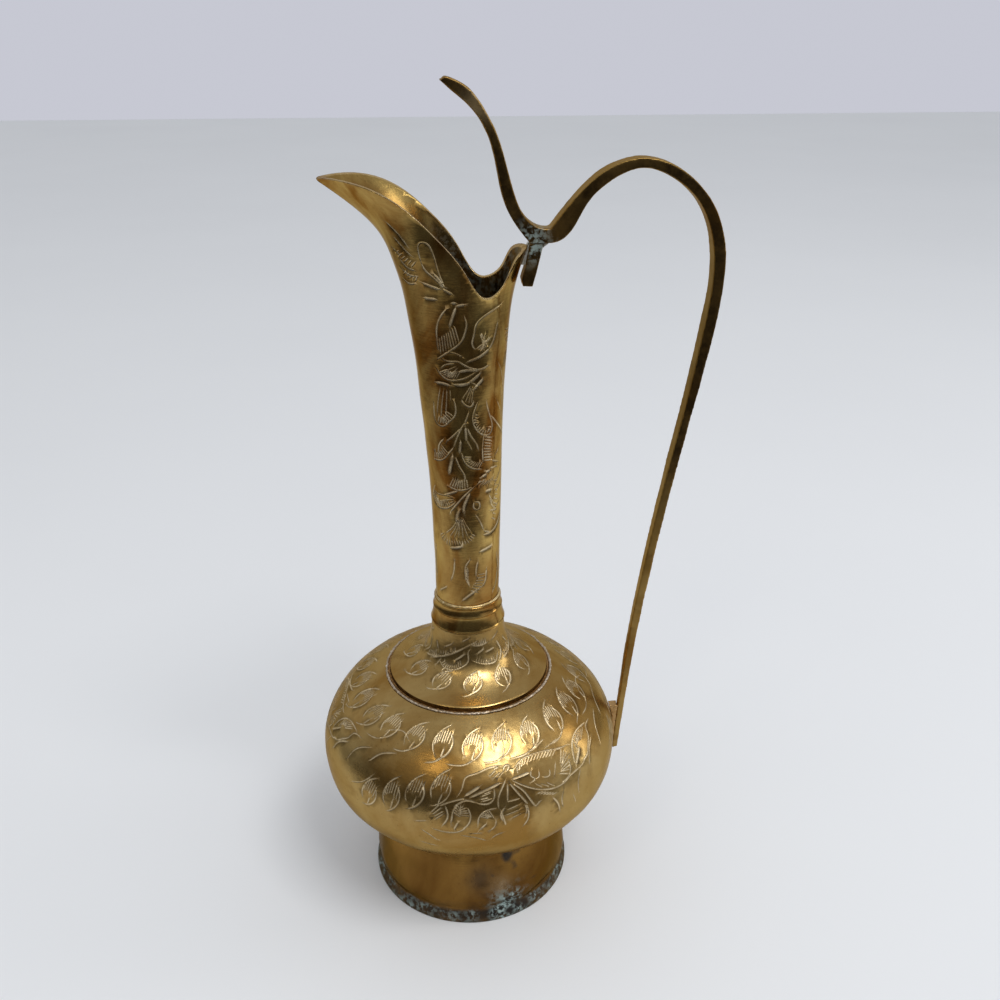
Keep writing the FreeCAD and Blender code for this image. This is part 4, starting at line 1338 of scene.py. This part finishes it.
def floor_material():
    """Pale paper. What the brass reflects of it ends in front, where the room is dim."""
    m = Surface("floor_paper")
    color = m.mix(m.noise(3.0, 3), rgb(0.78, 0.80, 0.83), rgb(0.82, 0.84, 0.87))
    parts = m.new("ShaderNodeSeparateXYZ", m.place).outputs
    sideways = m.math("MAXIMUM", m.math("MULTIPLY", parts["X"], -PAPER_LEFT),
                      m.math("MULTIPLY", parts["X"], PAPER_RIGHT))
    forward = m.math("MINIMUM", parts["Y"], 0.0)
    reach = m.math("SQRT", m.math("ADD", m.math("POWER", sideways, 2.0),
                                  m.math("POWER", forward, 2.0)))
    far = m.math("DIVIDE", m.math("SUBTRACT", reach, PAPER_REACH[0]),
                 PAPER_REACH[1] - PAPER_REACH[0], clamp=True)
    glossy = m.new("ShaderNodeLightPath").outputs["Is Glossy Ray"]
    color = m.mix(glossy, color, m.mix(far, rgb(0.62, 0.62, 0.62), rgb(0.03, 0.03, 0.03)))
    return m.done(color, 0.0, 0.85, m.bump(m.noise(400, 4), 0.05, 0.0005))


FLOOR_SIZE = 6.0
bpy.ops.mesh.primitive_grid_add(x_subdivisions=8, y_subdivisions=8, size=FLOOR_SIZE)
floor = bpy.context.object
floor.name = "floor"
floor.data.materials.append(floor_material())


MIDDLE = Vector((0.0, 0.0, 0.15))


def soft_light(name, place, width, height, power, color):
    """A rectangular light that faces the middle of the pot."""
    data = bpy.data.lights.new(name, "AREA")
    data.shape = "RECTANGLE"
    data.size = width
    data.size_y = height
    data.energy = power
    data.color = color
    obj = bpy.data.objects.new(name, data)
    bpy.context.scene.collection.objects.link(obj)
    obj.location = place
    obj.rotation_euler = (MIDDLE - obj.location).to_track_quat("-Z", "Y").to_euler()


# The lights: place, width, height, power and colour.
soft_light("window", (0.55, -0.75, 1.7), 0.75, 0.5, 12, (1.0, 0.99, 0.97))
soft_light("left_fill", (-0.75, -0.95, 1.35), 0.3, 0.3, 1.2, (1.0, 0.88, 0.62))
soft_light("right_strip", (1.5, 0.0, 0.5), 0.3, 1.2, 3, (1.0, 0.97, 0.92))

# The room: an even light for the floor, a plain backdrop, and what the metal reflects,
# which is a pale sweep behind and beside the pot and a dim room in front of it. The stops
# are a height, from straight down at 0 to straight up at 1, and a brightness.
BACKDROP = rgb(0.57, 0.58, 0.65)
EVEN_LIGHT = rgb(0.62, 0.63, 0.65)
FRONT_STOPS = ((0.0, 0.7), (0.13, 0.5), (0.2, 0.2), (0.27, 0.03), (0.5, 0.03),
               (0.62, 0.08), (0.74, 0.3), (0.86, 0.4), (1.0, 0.4))
BACK_STOPS = ((0.0, 0.7), (0.3, 0.36), (0.5, 0.5), (0.7, 0.45), (1.0, 0.4))
BLUER = 1.02


def room_light():
    """The world's nodes."""
    world = bpy.data.worlds.new("room")
    bpy.context.scene.world = world
    world.use_nodes = True
    w = Nodes(world.node_tree)

    def sweep(stops):
        return w.ramp(height, [(at, rgb(level, level, level * BLUER)) for at, level in stops])

    def shining(color):
        return w.new("ShaderNodeBackground", color).outputs[0]

    way = w.new("ShaderNodeSeparateXYZ", w.places["Generated"]).outputs
    height = w.math("MULTIPLY_ADD", way["Z"], 0.5, 0.5, clamp=True)
    behind = w.math("MULTIPLY_ADD", way["Y"], 1.6, 0.2, clamp=True)
    beside = w.math("MULTIPLY_ADD", way["X"], 5.0, -2.6, clamp=True)
    reflected = w.mix(w.math("MAXIMUM", behind, beside), sweep(FRONT_STOPS), sweep(BACK_STOPS))
    ray = w.new("ShaderNodeLightPath").outputs
    light = w.new("ShaderNodeMixShader", ray["Is Glossy Ray"], shining(EVEN_LIGHT),
                  shining(reflected)).outputs[0]
    light = w.new("ShaderNodeMixShader", ray["Is Camera Ray"], light,
                  shining(BACKDROP)).outputs[0]
    w.link(light, w.tree.nodes["World Output"].inputs[0])


room_light()

# The camera, with its place in belly radii from the pot's foot.
YAW = math.radians(5.0)
PITCH = math.radians(25.7)
EYE = Vector((0.2123, -5.921, 5.738)) * BELLY_R * MM
LENS = 37.8
SENSOR = 36
look = Vector((0, math.cos(PITCH), -math.sin(PITCH)))
turn = Matrix.Rotation(-YAW, 3, "Z")
camera_data = bpy.data.cameras.new("camera")
camera_data.lens = LENS
camera_data.sensor_width = SENSOR
camera = bpy.data.objects.new("camera", camera_data)
bpy.context.scene.collection.objects.link(camera)
camera.location = turn @ EYE
camera.rotation_euler = (turn @ look).to_track_quat("-Z", "Y").to_euler()
bpy.context.scene.camera = camera
bpy.context.scene.view_settings.view_transform = "Standard"
